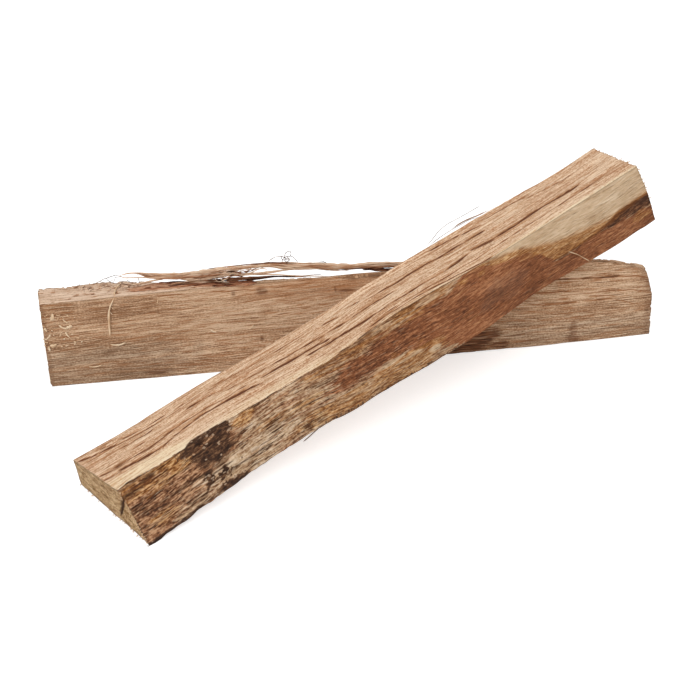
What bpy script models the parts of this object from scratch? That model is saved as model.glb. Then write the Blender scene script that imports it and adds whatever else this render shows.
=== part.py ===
"""Bundle of firewood: a split log lies flat and a second one leans across it.

Torn strips of bast arch over the flat log, and single slivers stand off both logs.
Units are metres and +Z is up. +X runs along the flat log. The origin is on the floor, under the centre
of the bundle's bounding box. Each log is a loft between sections that change along the grain.
"""

import math

import bpy
import numpy as np
from mathutils import Vector

# Driving dimensions
LOG_LENGTH = 0.400
STATIONS = 33  # sections along each log
TUBE_SIDES = 2  # bevel resolution of the thin strips
SHARP_ANGLE = math.radians(25.0)  # a steeper fold than this between faces is an edge

# The flat log stands on its lower split face. Its rails run along the grain, from the left cut.
FLAT_START = (-0.1928, 0.0, 0.0)
FLAT_FRONT = -0.0245  # the front foot's y at the left cut
# Each corner's (distance along the grain, y, z), at the places where it bends
FLAT_RAILS = {
    "foot_front": [
        (0.0, FLAT_FRONT, 0.0),
        (0.100, -0.0248, 0.0),
        (0.260, -0.0278, 0.0),
        (0.330, -0.0276, 0.0),
        (LOG_LENGTH, -0.0248, 0.0),
    ],
    "ridge": [
        (0.0, -0.0191, 0.0611),
        (0.115, -0.0189, 0.0635),
        (0.215, -0.0189, 0.0637),
        (0.300, -0.0190, 0.0610),
        (0.360, -0.0193, 0.0592),
        (0.376, -0.0194, 0.0573),
        (LOG_LENGTH, -0.0200, 0.0505),
    ],
    "shoulder": [
        (0.0, 0.0010, 0.0598),
        (0.020, 0.0012, 0.0596),
        (0.050, 0.0022, 0.0600),
        (0.080, -0.0032, 0.0601),
        (0.135, -0.0078, 0.0604),
        (0.195, -0.0155, 0.0630),
        (0.300, -0.0160, 0.0604),
        (0.376, -0.0152, 0.0566),
        (LOG_LENGTH, -0.0148, 0.0500),
    ],
    "back_high": [
        (0.0, 0.0225, 0.0400),
        (0.100, 0.0170, 0.0405),
        (0.200, 0.0085, 0.0410),
        (0.300, 0.0080, 0.0385),
        (LOG_LENGTH, 0.0090, 0.0280),
    ],
    "back_low": [(0.0, 0.0415, 0.0150), (0.200, 0.0365, 0.0150), (LOG_LENGTH, 0.0340, 0.0110)],
    "foot_back": [(0.0, 0.0450, 0.0), (0.200, 0.0430, 0.0), (LOG_LENGTH, 0.0400, 0.0)],
}
FLAT_SIDES = [  # from corner, to corner, steps, bulge outwards
    ("foot_front", "ridge", 5, 0.0),
    ("ridge", "shoulder", 2, 0.0),
    ("shoulder", "back_high", 5, 0.0008),
    ("back_high", "back_low", 5, 0.0020),
    ("back_low", "foot_back", 3, 0.0008),
    ("foot_back", "foot_front", 5, 0.0),
]
FLAT_LEFT_LEAN = -0.028  # the left cut leans out by this much a metre of height
FLAT_LEFT_SKEW = -0.045  # and falls back across the log
FLAT_WEAR_FROM = 0.030  # above this height the right end is worn back
FLAT_RIGHT_WEAR = -0.28  # by this much a metre of height

# The leaning log stands on the corner of its near cut
LEAN_FOOT = (-0.1399, -0.1883, 0.0)
LEAN_YAW = math.radians(27.7)
LEAN_PITCH = math.radians(11.2)
# Each corner's (distance along the grain, across, up) in the log's own frame
LEAN_RAILS = {
    "bark_foot": [
        (0.0, 0.0, 0.0),
        (0.040, 0.0024, 0.0007),
        (0.080, 0.0047, 0.0020),
        (0.120, 0.0024, 0.0050),
        (0.160, 0.0011, 0.0020),
        (0.200, 0.0004, 0.0000),
        (0.240, -0.0006, -0.0006),
        (0.300, 0.0011, 0.0012),
        (0.360, -0.0004, -0.0004),
        (LOG_LENGTH, -0.0005, -0.0003),
    ],
    "bark_top": [
        (0.0, 0.0197, 0.0312),
        (0.080, 0.0200, 0.0333),
        (0.160, 0.0173, 0.0335),
        (0.200, 0.0190, 0.0353),
        (0.280, 0.0161, 0.0348),
        (LOG_LENGTH, 0.0147, 0.0368),
    ],
    "heart_top": [
        (0.0, 0.0728, 0.0218),
        (0.040, 0.0717, 0.0209),
        (0.080, 0.0713, 0.0220),
        (0.160, 0.0665, 0.0234),
        (0.240, 0.0644, 0.0264),
        (0.320, 0.0608, 0.0282),
        (0.360, 0.0584, 0.0285),
        (LOG_LENGTH, 0.0578, 0.0305),
    ],
    "heart_foot": [
        (0.0, 0.0725, 0.0008),
        (0.080, 0.0718, 0.0068),
        (0.160, 0.0680, 0.0115),
        (0.240, 0.0655, 0.0149),
        (0.320, 0.0620, 0.0180),
        (LOG_LENGTH, 0.0590, 0.0200),
    ],
    "belly": [
        (0.0, 0.0150, 0.0003),
        (0.080, 0.0180, -0.0008),
        (0.160, 0.0175, -0.0030),
        (0.240, 0.0165, -0.0042),
        (0.340, 0.0170, -0.0050),
        (LOG_LENGTH, 0.0160, -0.0048),
    ],
}
LEAN_SIDES = [
    ("bark_foot", "bark_top", 6, 0.0018),
    ("bark_top", "heart_top", 6, 0.0),
    ("heart_top", "heart_foot", 2, 0.0),
    ("heart_foot", "belly", 6, 0.0),
    ("belly", "bark_foot", 3, 0.0),
]
LEAN_CUT_SKEW = -0.054  # the near cut falls back across the log
LEAN_CUT_LEAN = 0.033  # and leans forward with height
LEAN_EXTRA = 0.0018  # this log was sawn a little longer

# Loose strips and slivers: each route's points, then the radius at its start, middle and end
STRIPS = {
    "strip_upper": (
        [
            (-0.1420, -0.0090, 0.0698),
            (-0.1360, -0.0095, 0.0706),
            (-0.1260, -0.0095, 0.0698),
            (-0.1120, -0.0090, 0.0680),
            (-0.0920, -0.0090, 0.0688),
            (-0.0725, -0.0095, 0.0700),
            (-0.0445, -0.0100, 0.0706),
            (-0.0150, -0.0100, 0.0676),
            (0.0150, -0.0090, 0.0648),
            (0.0340, -0.0065, 0.0624),
            (0.0460, -0.0020, 0.0565),
            (0.0560, 0.0015, 0.0487),
        ],
        (0.0008, 0.0018, 0.0010),
    ),
    "strip_left": (
        [
            (-0.1420, -0.0110, 0.0712),
            (-0.1395, -0.0115, 0.0690),
            (-0.1330, -0.0120, 0.0682),
            (-0.1250, -0.0120, 0.0684),
            (-0.1170, -0.0120, 0.0668),
            (-0.1040, -0.0122, 0.0628),
        ],
        (0.0005, 0.0009, 0.0006),
    ),
    "strip_middle": (
        [
            (-0.0740, -0.0150, 0.0690),
            (-0.0530, -0.0155, 0.0692),
            (-0.0340, -0.0158, 0.0674),
            (-0.0175, -0.0160, 0.0655),
            (-0.0060, -0.0160, 0.0640),
        ],
        (0.0007, 0.0010, 0.0006),
    ),
    "strip_lower": (
        [
            (-0.0645, -0.0140, 0.0652),
            (-0.0560, -0.0142, 0.0644),
            (-0.0450, -0.0145, 0.0641),
            (-0.0330, -0.0150, 0.0636),
        ],
        (0.0006, 0.0011, 0.0005),
    ),
    "splinter_hanging": (
        [
            (-0.1455, -0.0165, 0.0640),
            (-0.1470, -0.0205, 0.0622),
            (-0.1500, -0.0210, 0.0575),
            (-0.1516, -0.0218, 0.0490),
            (-0.1519, -0.0226, 0.0400),
            (-0.1521, -0.0232, 0.0330),
        ],
        (0.0006, 0.0008, 0.0005),
    ),
}
SLIVER_FRONT = (
    [
        (0.2838, 0.0650, 0.0272),
        (0.2912, 0.0650, 0.0279),
        (0.2985, 0.0645, 0.0277),
        (0.3072, 0.0635, 0.0270),
        (0.3158, 0.0621, 0.0270),
    ],
    (0.0005, 0.0008, 0.0005),
)
STRIP_POINTS = 30
SLIVER_POINTS = 12

# Linear colour, roughness
FINISHES = {
    "back_log": ((0.290, 0.170, 0.090, 1.0), 0.85),
    "front_log": ((0.420, 0.240, 0.130, 1.0), 0.80),
    "strip_upper": ((0.340, 0.170, 0.090, 1.0), 0.80),
    "strip_left": ((0.370, 0.210, 0.120, 1.0), 0.80),
    "strip_middle": ((0.330, 0.180, 0.100, 1.0), 0.80),
    "strip_lower": ((0.150, 0.060, 0.030, 1.0), 0.85),
    "sliver_front": ((0.450, 0.300, 0.180, 1.0), 0.80),
    "splinter_hanging": ((0.600, 0.430, 0.270, 1.0), 0.75),
}


def smooth(stations, values, at):
    """The values at a place along the grain, on a cubic curve through the stations."""
    stations = np.asarray(stations, float)
    values = np.asarray(values, float)
    slopes = np.gradient(values, stations, axis=0)
    k = int(np.clip(np.searchsorted(stations, at) - 1, 0, len(stations) - 2))
    span = stations[k + 1] - stations[k]
    t = float(np.clip((at - stations[k]) / span, 0.0, 1.0))
    rise = t * t * (3.0 - 2.0 * t)
    start_bend = t * (1.0 - t) ** 2
    end_bend = t * t * (1.0 - t)
    bend = (start_bend * slopes[k] - end_bend * slopes[k + 1]) * span
    return values[k] * (1.0 - rise) + values[k + 1] * rise + bend


def section(rails, sides, at):
    """The log's outline at one place along the grain, as points across and up."""
    corners = {}
    for name, rail in rails.items():
        rail = np.asarray(rail, float)
        corners[name] = smooth(rail[:, 0], rail[:, 1:], at)
    outline = []
    for start_name, end_name, steps, bulge in sides:
        start = corners[start_name]
        along = corners[end_name] - start
        outward = np.array([-along[1], along[0]]) / np.linalg.norm(along)
        for step in range(steps):
            t = step / steps
            outline.append(start + along * t + outward * bulge * 4.0 * t * (1.0 - t))
    return outline


def log_object(name, rails, sides, near_cut, far_cut):
    """Lofts the sections into one closed log. A cut says how far an end is set forward at a point."""
    points = []
    for row in range(STATIONS):
        t = row / (STATIONS - 1)
        for across, up in section(rails, sides, t * LOG_LENGTH):
            start = near_cut(across, up)
            end = LOG_LENGTH + far_cut(across, up)
            points.append((start + (end - start) * t, across, up))
    ring = len(points) // STATIONS
    faces = []
    for row in range(STATIONS - 1):
        for k in range(ring):
            a = row * ring + k
            b = row * ring + (k + 1) % ring
            faces.append((a, a + ring, b + ring, b))
    for first, turned in ((0, False), ((STATIONS - 1) * ring, True)):
        rim = range(first, first + ring)
        middle = np.mean([points[k] for k in rim], axis=0)
        points.append(tuple(middle))
        for k in range(ring):
            edge = (first + k, first + (k + 1) % ring)
            faces.append((len(points) - 1, *(edge[::-1] if turned else edge)))
    mesh = bpy.data.meshes.new(name)
    mesh.from_pydata([tuple(map(float, p)) for p in points], [], faces)
    mesh.update()
    return bpy.data.objects.new(name, mesh)


def strip_object(name, route, radii, count):
    """A thin tube with filled caps along a smooth curve through the route, thickest in the middle."""
    route = np.asarray(route, float)
    steps = np.linalg.norm(np.diff(route, axis=0), axis=1)
    places = np.concatenate([[0.0], np.cumsum(steps)])
    curve = bpy.data.curves.new(name, "CURVE")
    curve.dimensions = "3D"
    curve.bevel_depth = 1.0  # so that a point's radius is the tube's own
    curve.bevel_resolution = TUBE_SIDES
    curve.use_fill_caps = True
    spline = curve.splines.new("POLY")
    spline.points.add(count - 1)
    for k, point in enumerate(spline.points):
        t = k / (count - 1)
        point.co = (*smooth(places, route, t * places[-1]), 1.0)
        point.radius = float(np.interp(t, (0.0, 0.5, 1.0), radii))
    return bpy.data.objects.new(name, curve)


def finish_object(piece, colour, roughness):
    """A Principled BSDF of the piece's own."""
    material = bpy.data.materials.new(piece.name)
    material.use_nodes = True
    shader = material.node_tree.nodes["Principled BSDF"]
    shader.inputs["Base Color"].default_value = colour
    shader.inputs["Roughness"].default_value = roughness
    shader.inputs["Metallic"].default_value = 0.0
    piece.data.materials.append(material)


def centre_on_floor(bundle, pieces):
    """Moves the bundle's empty so that the origin is under the centre of the bounding box."""
    bpy.context.view_layer.update()
    graph = bpy.context.evaluated_depsgraph_get()
    corners = []
    for piece in pieces:
        shape = piece.evaluated_get(graph)
        mesh = shape.to_mesh()
        corners += [shape.matrix_world @ vertex.co for vertex in mesh.vertices]
        shape.to_mesh_clear()
    corners = np.array(corners)
    middle = (corners.min(axis=0) + corners.max(axis=0)) / 2.0
    bundle.location = (-middle[0], -middle[1], 0.0)


def main():
    for leftover in list(bpy.data.objects):
        bpy.data.objects.remove(leftover, do_unlink=True)
    collection = bpy.data.collections.new("bundle of firewood")
    bpy.context.scene.collection.children.link(collection)
    bundle = bpy.data.objects.new("bundle", None)
    collection.objects.link(bundle)

    flat = log_object(
        "back_log",
        FLAT_RAILS,
        FLAT_SIDES,
        lambda across, up: FLAT_LEFT_LEAN * up + FLAT_LEFT_SKEW * (across - FLAT_FRONT),
        lambda across, up: FLAT_RIGHT_WEAR * max(0.0, up - FLAT_WEAR_FROM),
    )
    flat.location = FLAT_START

    lean = log_object(
        "front_log",
        LEAN_RAILS,
        LEAN_SIDES,
        lambda across, up: LEAN_CUT_SKEW * across + LEAN_CUT_LEAN * up,
        lambda across, up: LEAN_EXTRA,
    )
    lean.location = LEAN_FOOT
    lean.rotation_euler = (0.0, -LEAN_PITCH, LEAN_YAW)

    pieces = [flat, lean]
    for name, (route, radii) in STRIPS.items():
        pieces.append(strip_object(name, route, radii, STRIP_POINTS))
    sliver = strip_object("sliver_front", *SLIVER_FRONT, SLIVER_POINTS)
    sliver.location = LEAN_FOOT
    sliver.rotation_euler = lean.rotation_euler
    pieces.append(sliver)

    for piece in pieces:
        collection.objects.link(piece)
        piece.parent = bundle
        finish_object(piece, *FINISHES[piece.name])
    for piece in (flat, lean):
        piece.data.shade_smooth()
        piece.data.set_sharp_from_angle(angle=SHARP_ANGLE)
    centre_on_floor(bundle, pieces)


main()
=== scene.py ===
"""Looks for the bundle of firewood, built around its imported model.

Two split oak logs get their grain, pores, bark and sawn ends as dense meshes. Torn bast arches over the
flat log, and slivers, hairs, chips and crumbs lie on both. A log's own directions are along its grain,
across it towards the back, and up. The frame and all stored points are in metres with +Z up. Looks and
reliefs are written in millimetres along and across a side, or as shares of the side's width.
"""

import math

import bpy
import numpy as np
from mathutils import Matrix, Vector, geometry


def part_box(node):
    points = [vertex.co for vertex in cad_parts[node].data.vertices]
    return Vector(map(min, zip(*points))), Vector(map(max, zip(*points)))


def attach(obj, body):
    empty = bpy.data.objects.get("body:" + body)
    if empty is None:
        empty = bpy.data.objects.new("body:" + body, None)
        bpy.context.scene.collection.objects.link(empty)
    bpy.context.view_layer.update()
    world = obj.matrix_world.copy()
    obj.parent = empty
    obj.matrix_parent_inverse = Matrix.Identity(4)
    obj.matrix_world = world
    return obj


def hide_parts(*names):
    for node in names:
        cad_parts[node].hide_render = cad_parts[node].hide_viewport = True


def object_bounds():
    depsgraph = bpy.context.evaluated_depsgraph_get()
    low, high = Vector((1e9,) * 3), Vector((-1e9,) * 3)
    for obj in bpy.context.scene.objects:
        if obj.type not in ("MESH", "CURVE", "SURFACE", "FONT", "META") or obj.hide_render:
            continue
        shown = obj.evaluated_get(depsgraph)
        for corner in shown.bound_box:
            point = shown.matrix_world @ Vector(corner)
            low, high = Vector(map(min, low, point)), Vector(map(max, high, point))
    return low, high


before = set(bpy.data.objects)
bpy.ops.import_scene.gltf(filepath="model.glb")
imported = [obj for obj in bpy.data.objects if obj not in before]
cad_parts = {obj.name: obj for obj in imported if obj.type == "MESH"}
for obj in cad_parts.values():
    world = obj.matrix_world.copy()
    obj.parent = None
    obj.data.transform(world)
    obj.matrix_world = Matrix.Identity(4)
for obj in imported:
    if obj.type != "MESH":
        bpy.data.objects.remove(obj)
CAD_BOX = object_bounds()
MM = 0.001

LOG_LENGTH = 0.400
SECTION_SPANS = 32  # spans between the sections of a packed log
STATIONS = 372  # rows of points along each fine log
END_GRID = 1.1 * MM  # spacing of the points inside a sawn end
SKIN_INSET = 0.4 * MM  # height 0 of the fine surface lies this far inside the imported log
CORNER_REACH = 1.6 * MM  # wood this near a corner moves with it
END_REACH = 14 * MM  # a sawn end's roughness fades out over this much of the sides
SIDE_SHIFT = 3.7  # sets the materials' noise on one side of a log apart from the next side's
HASH = (374761393, 668265263, 974634777, 1274126177)  # large odd numbers that scramble the noise's cells


# ---------------------------------------------------------------- fields of numbers


def hashed(column, row, seed):
    """Repeatable numbers from -1 to 1, one for each whole-number place."""
    mixed = column.astype(np.int64) * HASH[0] + row.astype(np.int64) * HASH[1] + seed * HASH[2]
    mixed &= 0xFFFFFFFF
    mixed = ((mixed ^ (mixed >> 13)) * HASH[3]) & 0xFFFFFFFF
    return ((mixed ^ (mixed >> 16)) & 0xFFFF) / 32767.5 - 1.0


def noise(x, y, seed):
    """Smooth noise from -1 to 1 with cells one unit wide."""
    x, y = np.broadcast_arrays(np.asarray(x, float), np.asarray(y, float))
    column, row = np.floor(x), np.floor(y)
    right, up = x - column, y - row
    right = right * right * (3.0 - 2.0 * right)
    up = up * up * (3.0 - 2.0 * up)
    low = hashed(column, row, seed) * (1.0 - right) + hashed(column + 1, row, seed) * right
    high = hashed(column, row + 1, seed) * (1.0 - right) + hashed(column + 1, row + 1, seed) * right
    return low * (1.0 - up) + high * up


def layered(x, y, seed, layers=3):
    """Noise with finer layers, each half as strong as the one before."""
    strengths = [0.5**layer for layer in range(layers)]
    parts = [s * noise(x * 2.0**k, y * 2.0**k, seed + 17 * k) for k, s in enumerate(strengths)]
    return sum(parts) / sum(strengths)


def mottled(along, across, long, wide, seed, layers=3):
    """Layered noise with cells this long and wide in mm."""
    return layered(along / long, across / wide, seed, layers)


def wandering(along, long, seed, layers=3):
    """Layered noise that changes only along the grain, over lengths in mm."""
    return layered(along / long, 0.0, seed, layers)


def ramp(value, start, end):
    """0 up to start, 1 from end on, and smooth between. start may be above end."""
    t = np.clip((value - start) / (end - start), 0.0, 1.0)
    return t * t * (3.0 - 2.0 * t)


def stretch_of(value, start, full, fading, end):
    """0 up to start, 1 from full to fading, and 0 again from end on."""
    return ramp(value, start, full) * ramp(value, end, fading)


def patch(along, share, centre, half_size, ragged, seed):
    """1 inside a ragged patch of a face and 0 outside it. Places are mm along and shares of the width."""
    reach = np.hypot((along - centre[0]) / half_size[0], (share - centre[1]) / half_size[1])
    return ramp(reach + ragged * layered(along / 7, share * 11.0, seed, 4), 1.35, 0.65)


def patches(along, share, ragged, seed, spots):
    """Several patches. A spot is its centre, its half size and its strength, in the terms of patch."""
    made = [power * patch(along, share, (x, y), (dx, dy), ragged, seed) for x, y, dx, dy, power in spots]
    return np.maximum.reduce(made)


# ---------------------------------------------------------------- the logs' surfaces


class LogSurface:
    """A fine grid over a packed log: rows along the grain, and columns round the section."""

    def __init__(self, node, axes, foot, cuts, sides, bark_side, fields):
        self.axes, self.foot = np.array(axes), np.array(foot)
        self.near_cut, self.far_cut = cuts
        self.bark_side = bark_side
        counts = [count for _, count in sides.values()]
        ends = np.cumsum(counts)
        self.columns = {name: slice(end - count, end) for name, end, count in zip(sides, ends, counts)}
        rings = [self.resampled(inset(ring), sides) for ring in self.packed_sections(node)]
        self.points = smooth_rows(np.array(rings), STATIONS)
        self.along = np.linspace(0.0, LOG_LENGTH, STATIONS)[:, None] + np.zeros((1, ends[-1]))
        self.share, self.across, self.to_corner = np.zeros((3, *self.along.shape))
        self.side_place, self.height = np.zeros((2, *self.along.shape))
        for k, (first, last) in enumerate(zip(ends - counts, ends)):
            self.share[:, first:last] = np.arange(last - first) / (last - first)
            side = np.take(self.points, range(first, last + 1), axis=1, mode="wrap")
            steps = np.linalg.norm(np.diff(side[:, :, 1:], axis=1), axis=2)
            across = np.cumsum(steps, axis=1) - steps
            self.across[:, first:last] = across
            self.to_corner[:, first:last] = np.minimum(across, steps.sum(axis=1, keepdims=True) - across)
            self.side_place[:, first:last] = SIDE_SHIFT * k
        self.outward = self.normals()
        self.proud = np.full_like(self.along, 0.10 * MM)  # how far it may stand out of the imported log
        self.grain_across = self.across.copy()
        self.fields = {name: np.zeros_like(self.along) for name in fields}

    def packed_sections(self, node):
        """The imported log's sections in its own directions, each a ring of points in order."""
        local = np.unique(np.round((packed_corners(node) - self.foot) @ self.axes.T, 6), axis=0)
        start, end = (cut(local[:, 1], local[:, 2]) for cut in (self.near_cut, self.far_cut))
        row = np.rint((local[:, 0] - start) / (end - start) * SECTION_SPANS)
        for k in range(SECTION_SPANS + 1):
            ring = local[row == k]
            spread = ring[:, 1:] - ring[:, 1:].mean(axis=0)
            turn = np.argsort(-np.arctan2(spread[:, 1], spread[:, 0]))
            distance = np.linalg.norm(spread, axis=1)
            outer = distance[turn] > 0.3 * np.median(distance)  # a cut's middle point isn't on the outline
            yield ring[turn][outer]

    def resampled(self, ring, sides):
        """The ring from corner to corner, with each side's own number of points."""
        firsts = [int(np.argmax(ring[:, 1:] @ np.array(corner))) for corner, _ in sides.values()]
        made = []
        for (_, count), first, last in zip(sides.values(), firsts, firsts[1:] + firsts[:1]):
            steps = (last - first) % len(ring)
            side = ring[(first + np.arange(steps + 1)) % len(ring)]
            lengths = np.linalg.norm(np.diff(side[:, 1:], axis=0), axis=1)
            places = np.concatenate([[0.0], np.cumsum(lengths)])
            at = np.linspace(0.0, places[-1], count, endpoint=False)
            made.append(np.stack([np.interp(at, places, side[:, axis]) for axis in range(3)], axis=1))
        return np.concatenate(made)

    def normals(self):
        """Outward directions of the grid's points, in the log's own directions."""
        around = np.roll(self.points, -1, axis=1) - np.roll(self.points, 1, axis=1)
        outward = np.cross(np.gradient(self.points, axis=0), around)
        outward /= np.linalg.norm(outward, axis=2, keepdims=True)
        middle = self.points.mean(axis=1, keepdims=True)
        inward = ((self.points - middle) * outward).sum(axis=2).mean() < 0.0
        return -outward if inward else outward

    def side(self, name):
        """A side's points: mm along, the share of the side's width, and mm across."""
        columns = self.columns[name]
        return self.along[:, columns] / MM, self.share[:, columns], self.across[:, columns] / MM

    def shape(self, side, height, grain_across, **fields):
        """Sets a side's height and places across the grain, both in mm, and fields for the materials."""
        columns = self.columns[side]
        self.height[:, columns] = MM * height
        self.grain_across[:, columns] = MM * grain_across
        for name, values in fields.items():
            self.fields[name][:, columns] = values

    def stand_out(self, side, how_far, most, height):
        """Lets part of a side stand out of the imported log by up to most, and lifts it by height, in mm."""
        self.proud[:, self.columns[side]] = MM * (0.10 + most * how_far)
        self.height[:, self.columns[side]] += height * MM * how_far

    def at_end(self, end_shape, across, up, row, at_far_end):
        """How far the wood is moved along the grain at places near one row, and how dark its cracks and
        painted bark-lip shadow are there.
        """
        bark = self.points[row, self.columns[self.bark_side], 1:]
        from_bark = np.hypot(across[:, None] - bark[:, 0], up[:, None] - bark[:, 1]).min(axis=1)
        set_back, crack = end_shape(across / MM, up / MM, from_bark / MM, at_far_end)
        return (-MM if at_far_end else MM) * set_back, crack

    def displace(self, end_shape):
        """Moves the points by the height field, then shifts the wood near each cut along the grain."""
        height = np.minimum(self.height, SKIN_INSET + self.proud)
        moves = self.outward * height[:, :, None]
        count = height.shape[1]
        corners = [columns.start for columns in self.columns.values()]
        gaps = [[min((k - corner) % count, (corner - k) % count) for corner in corners] for k in range(count)]
        nearest = np.array(corners)[np.argmin(gaps, axis=1)]
        held = ramp(self.to_corner, CORNER_REACH, 0.3 * MM)[:, :, None]
        self.points = self.points + moves * (1.0 - held) + moves[:, nearest] * held
        for at_far_end, from_end in ((False, self.along), (True, LOG_LENGTH - self.along)):
            for row in np.nonzero(from_end[:, 0] < END_REACH)[0]:
                across, up = self.points[row, :, 1], self.points[row, :, 2]
                shift, _ = self.at_end(end_shape, across, up, row, at_far_end)
                self.points[row, :, 0] += shift * ramp(from_end[row], END_REACH, 0.0)

    def place(self, side, along, share, lift=0.0):
        """The place in the frame this many mm along one side, this share across it and mm above it."""
        columns = self.columns[side]
        row = int(round(along * MM / LOG_LENGTH * (STATIONS - 1)))
        column = (columns.start + int(round(share * (columns.stop - columns.start)))) % self.along.shape[1]
        return self.foot + (self.points[row, column] + lift * MM * self.outward[row, column]) @ self.axes

    def places(self, side, *points):
        """Several places on or above one side."""
        return [self.place(side, *point) for point in points]

    def end_points(self, at_far_end, end_shape):
        """Points inside a sawn end, the darkness of their cracks and painted bark-lip shadow, and the
        triangles that join them to the rim.
        """
        rim = self.points[-1 if at_far_end else 0]
        low, high = rim[:, 1:].min(axis=0), rim[:, 1:].max(axis=0)
        grid = np.stack(np.meshgrid(*(np.arange(a, b, END_GRID) for a, b in zip(low, high))), axis=-1)
        grid = grid.reshape(-1, 2)
        seed = 91 if at_far_end else 61
        moved = [hashed(np.arange(len(grid)), np.full(len(grid), k), seed) for k in (0, 1)]
        grid = grid + 0.25 * END_GRID * np.stack(moved, axis=1)
        clear = [np.linalg.norm(rim[:, 1:] - point, axis=1).min() > 0.5 * END_GRID for point in grid]
        grid = grid[np.array(clear) & inside_outline(grid, rim[:, 1:])]
        flat = [Vector(p) for p in np.concatenate([rim[:, 1:], grid])]
        edges = [(k, (k + 1) % len(rim)) for k in range(len(rim))]
        found, _, triangles, *_ = geometry.delaunay_2d_cdt(flat, edges, [], 1, 1e-7)
        if len(found) != len(flat):
            raise ValueError("a sawn end's outline crosses itself")
        cut = self.far_cut if at_far_end else self.near_cut
        across, up = grid.T
        shift, crack = self.at_end(end_shape, across, up, -1 if at_far_end else 0, at_far_end)
        return np.column_stack([cut(across, up) + shift, grid]), crack, triangles

    def mesh(self, name, end_shape, side_material, end_material):
        """The closed mesh in the frame's directions, with every field as a point attribute."""
        rows, columns = self.along.shape
        self.displace(end_shape)
        quads = grid_faces(rows, columns)
        points = [self.points.reshape(-1, 3)]
        count = rows * columns
        end_faces, cracks = [], [np.zeros(count)]
        for at_far_end in (False, True):
            inner, crack, triangles = self.end_points(at_far_end, end_shape)
            cracks.append(crack)
            rim_start = (rows - 1) * columns if at_far_end else 0
            for triangle in triangles:
                face = [rim_start + k if k < columns else count + k - columns for k in triangle]
                end_faces.append(face if at_far_end else face[::-1])
            points.append(inner)
            count += len(inner)
        local = np.concatenate(points)
        mesh = boxed_mesh(name, self.foot + local @ self.axes, quads + end_faces)
        material = np.full(len(mesh.polygons), end_material, np.int32)
        material[: len(quads)] = side_material[:-1].ravel()
        mesh.polygons.foreach_set("material_index", material)
        grain = np.stack([self.along, self.grain_across, self.side_place], axis=2).reshape(-1, 3)
        store(mesh, "grain", np.concatenate([grain, local[rows * columns :]]))
        for field, values in self.fields.items():
            store(mesh, field, np.pad(values.ravel(), (0, len(local) - rows * columns)))
        # crack holds the ends' cracks and, at the leaning log's near end, the painted shadow under the proud
        # bark
        store(mesh, "crack", np.concatenate(cracks))
        return mesh


def packed_corners(node):
    """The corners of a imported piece, in the frame's directions."""
    return np.array([vertex.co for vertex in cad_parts[node].data.vertices])


def boxed_mesh(name, points, faces):
    """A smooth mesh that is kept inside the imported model's box."""
    mesh = bpy.data.meshes.new(name)
    mesh.from_pydata(np.clip(points, *(np.array(corner) for corner in CAD_BOX)), [], faces)
    mesh.update()
    mesh.shade_smooth()
    return mesh


def inset(ring):
    """The ring moved inwards by SKIN_INSET: each edge moves, and the new corners are where edges meet."""
    outline = ring[:, 1:]
    edge = np.roll(outline, -1, axis=0) - outline
    edge /= np.linalg.norm(edge, axis=1, keepdims=True)
    inward = np.stack([edge[:, 1], -edge[:, 0]], axis=1)
    before = np.roll(inward, 1, axis=0)
    corner = (before + inward) / (1.0 + (before * inward).sum(axis=1, keepdims=True))
    return np.column_stack([ring[:, 0], outline + SKIN_INSET * corner])


def smooth_rows(rows, count):
    """This many rows, evenly numbered, on a smooth curve through the given ones."""
    rows = np.asarray(rows, float)
    at = np.linspace(0.0, len(rows) - 1.0, count)
    first = np.clip(at.astype(int), 0, len(rows) - 2)
    t = (at - first).reshape(-1, *([1] * (rows.ndim - 1)))
    slopes = np.gradient(rows, axis=0)
    rise = t * t * (3.0 - 2.0 * t)
    bend = t * (1.0 - t) ** 2 * slopes[first] - t * t * (1.0 - t) * slopes[first + 1]
    return rows[first] * (1.0 - rise) + rows[first + 1] * rise + bend


def inside_outline(points, outline):
    """Whether each point is inside the closed outline, by counting crossings."""
    inside = np.zeros(len(points), bool)
    for start, end in zip(outline, np.roll(outline, -1, axis=0)):
        spans = (start[1] > points[:, 1]) != (end[1] > points[:, 1])
        rise = end[1] - start[1]
        slope = (end[0] - start[0]) / (rise if abs(rise) > 1e-12 else 1e-12)
        inside ^= spans & (points[:, 0] < start[0] + slope * (points[:, 1] - start[1]))
    return inside


def grid_faces(rows, columns):
    """Quads that join the rows of a closed tube."""
    ring = np.arange(columns)
    quad = np.stack([ring, ring + columns, (ring + 1) % columns + columns, (ring + 1) % columns], axis=1)
    return (quad + columns * np.arange(rows - 1)[:, None, None]).reshape(-1, 4).tolist()


def store(mesh, name, values):
    """Saves numbers or vectors on the mesh's points under a name that materials read."""
    values = np.asarray(values, np.float32)
    kind, key = ("FLOAT_VECTOR", "vector") if values.ndim == 2 else ("FLOAT", "value")
    mesh.attributes.new(name, kind, "POINT").data.foreach_set(key, values.ravel())


# ---------------------------------------------------------------- materials


def srgb(red, green, blue):
    """A colour written in 0 to 255 as the shader's linear numbers."""
    channels = np.array([red, green, blue]) / 255.0
    linear = np.where(channels <= 0.04045, channels / 12.92, ((channels + 0.055) / 1.055) ** 2.4)
    return (*map(float, linear), 1.0)


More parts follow.
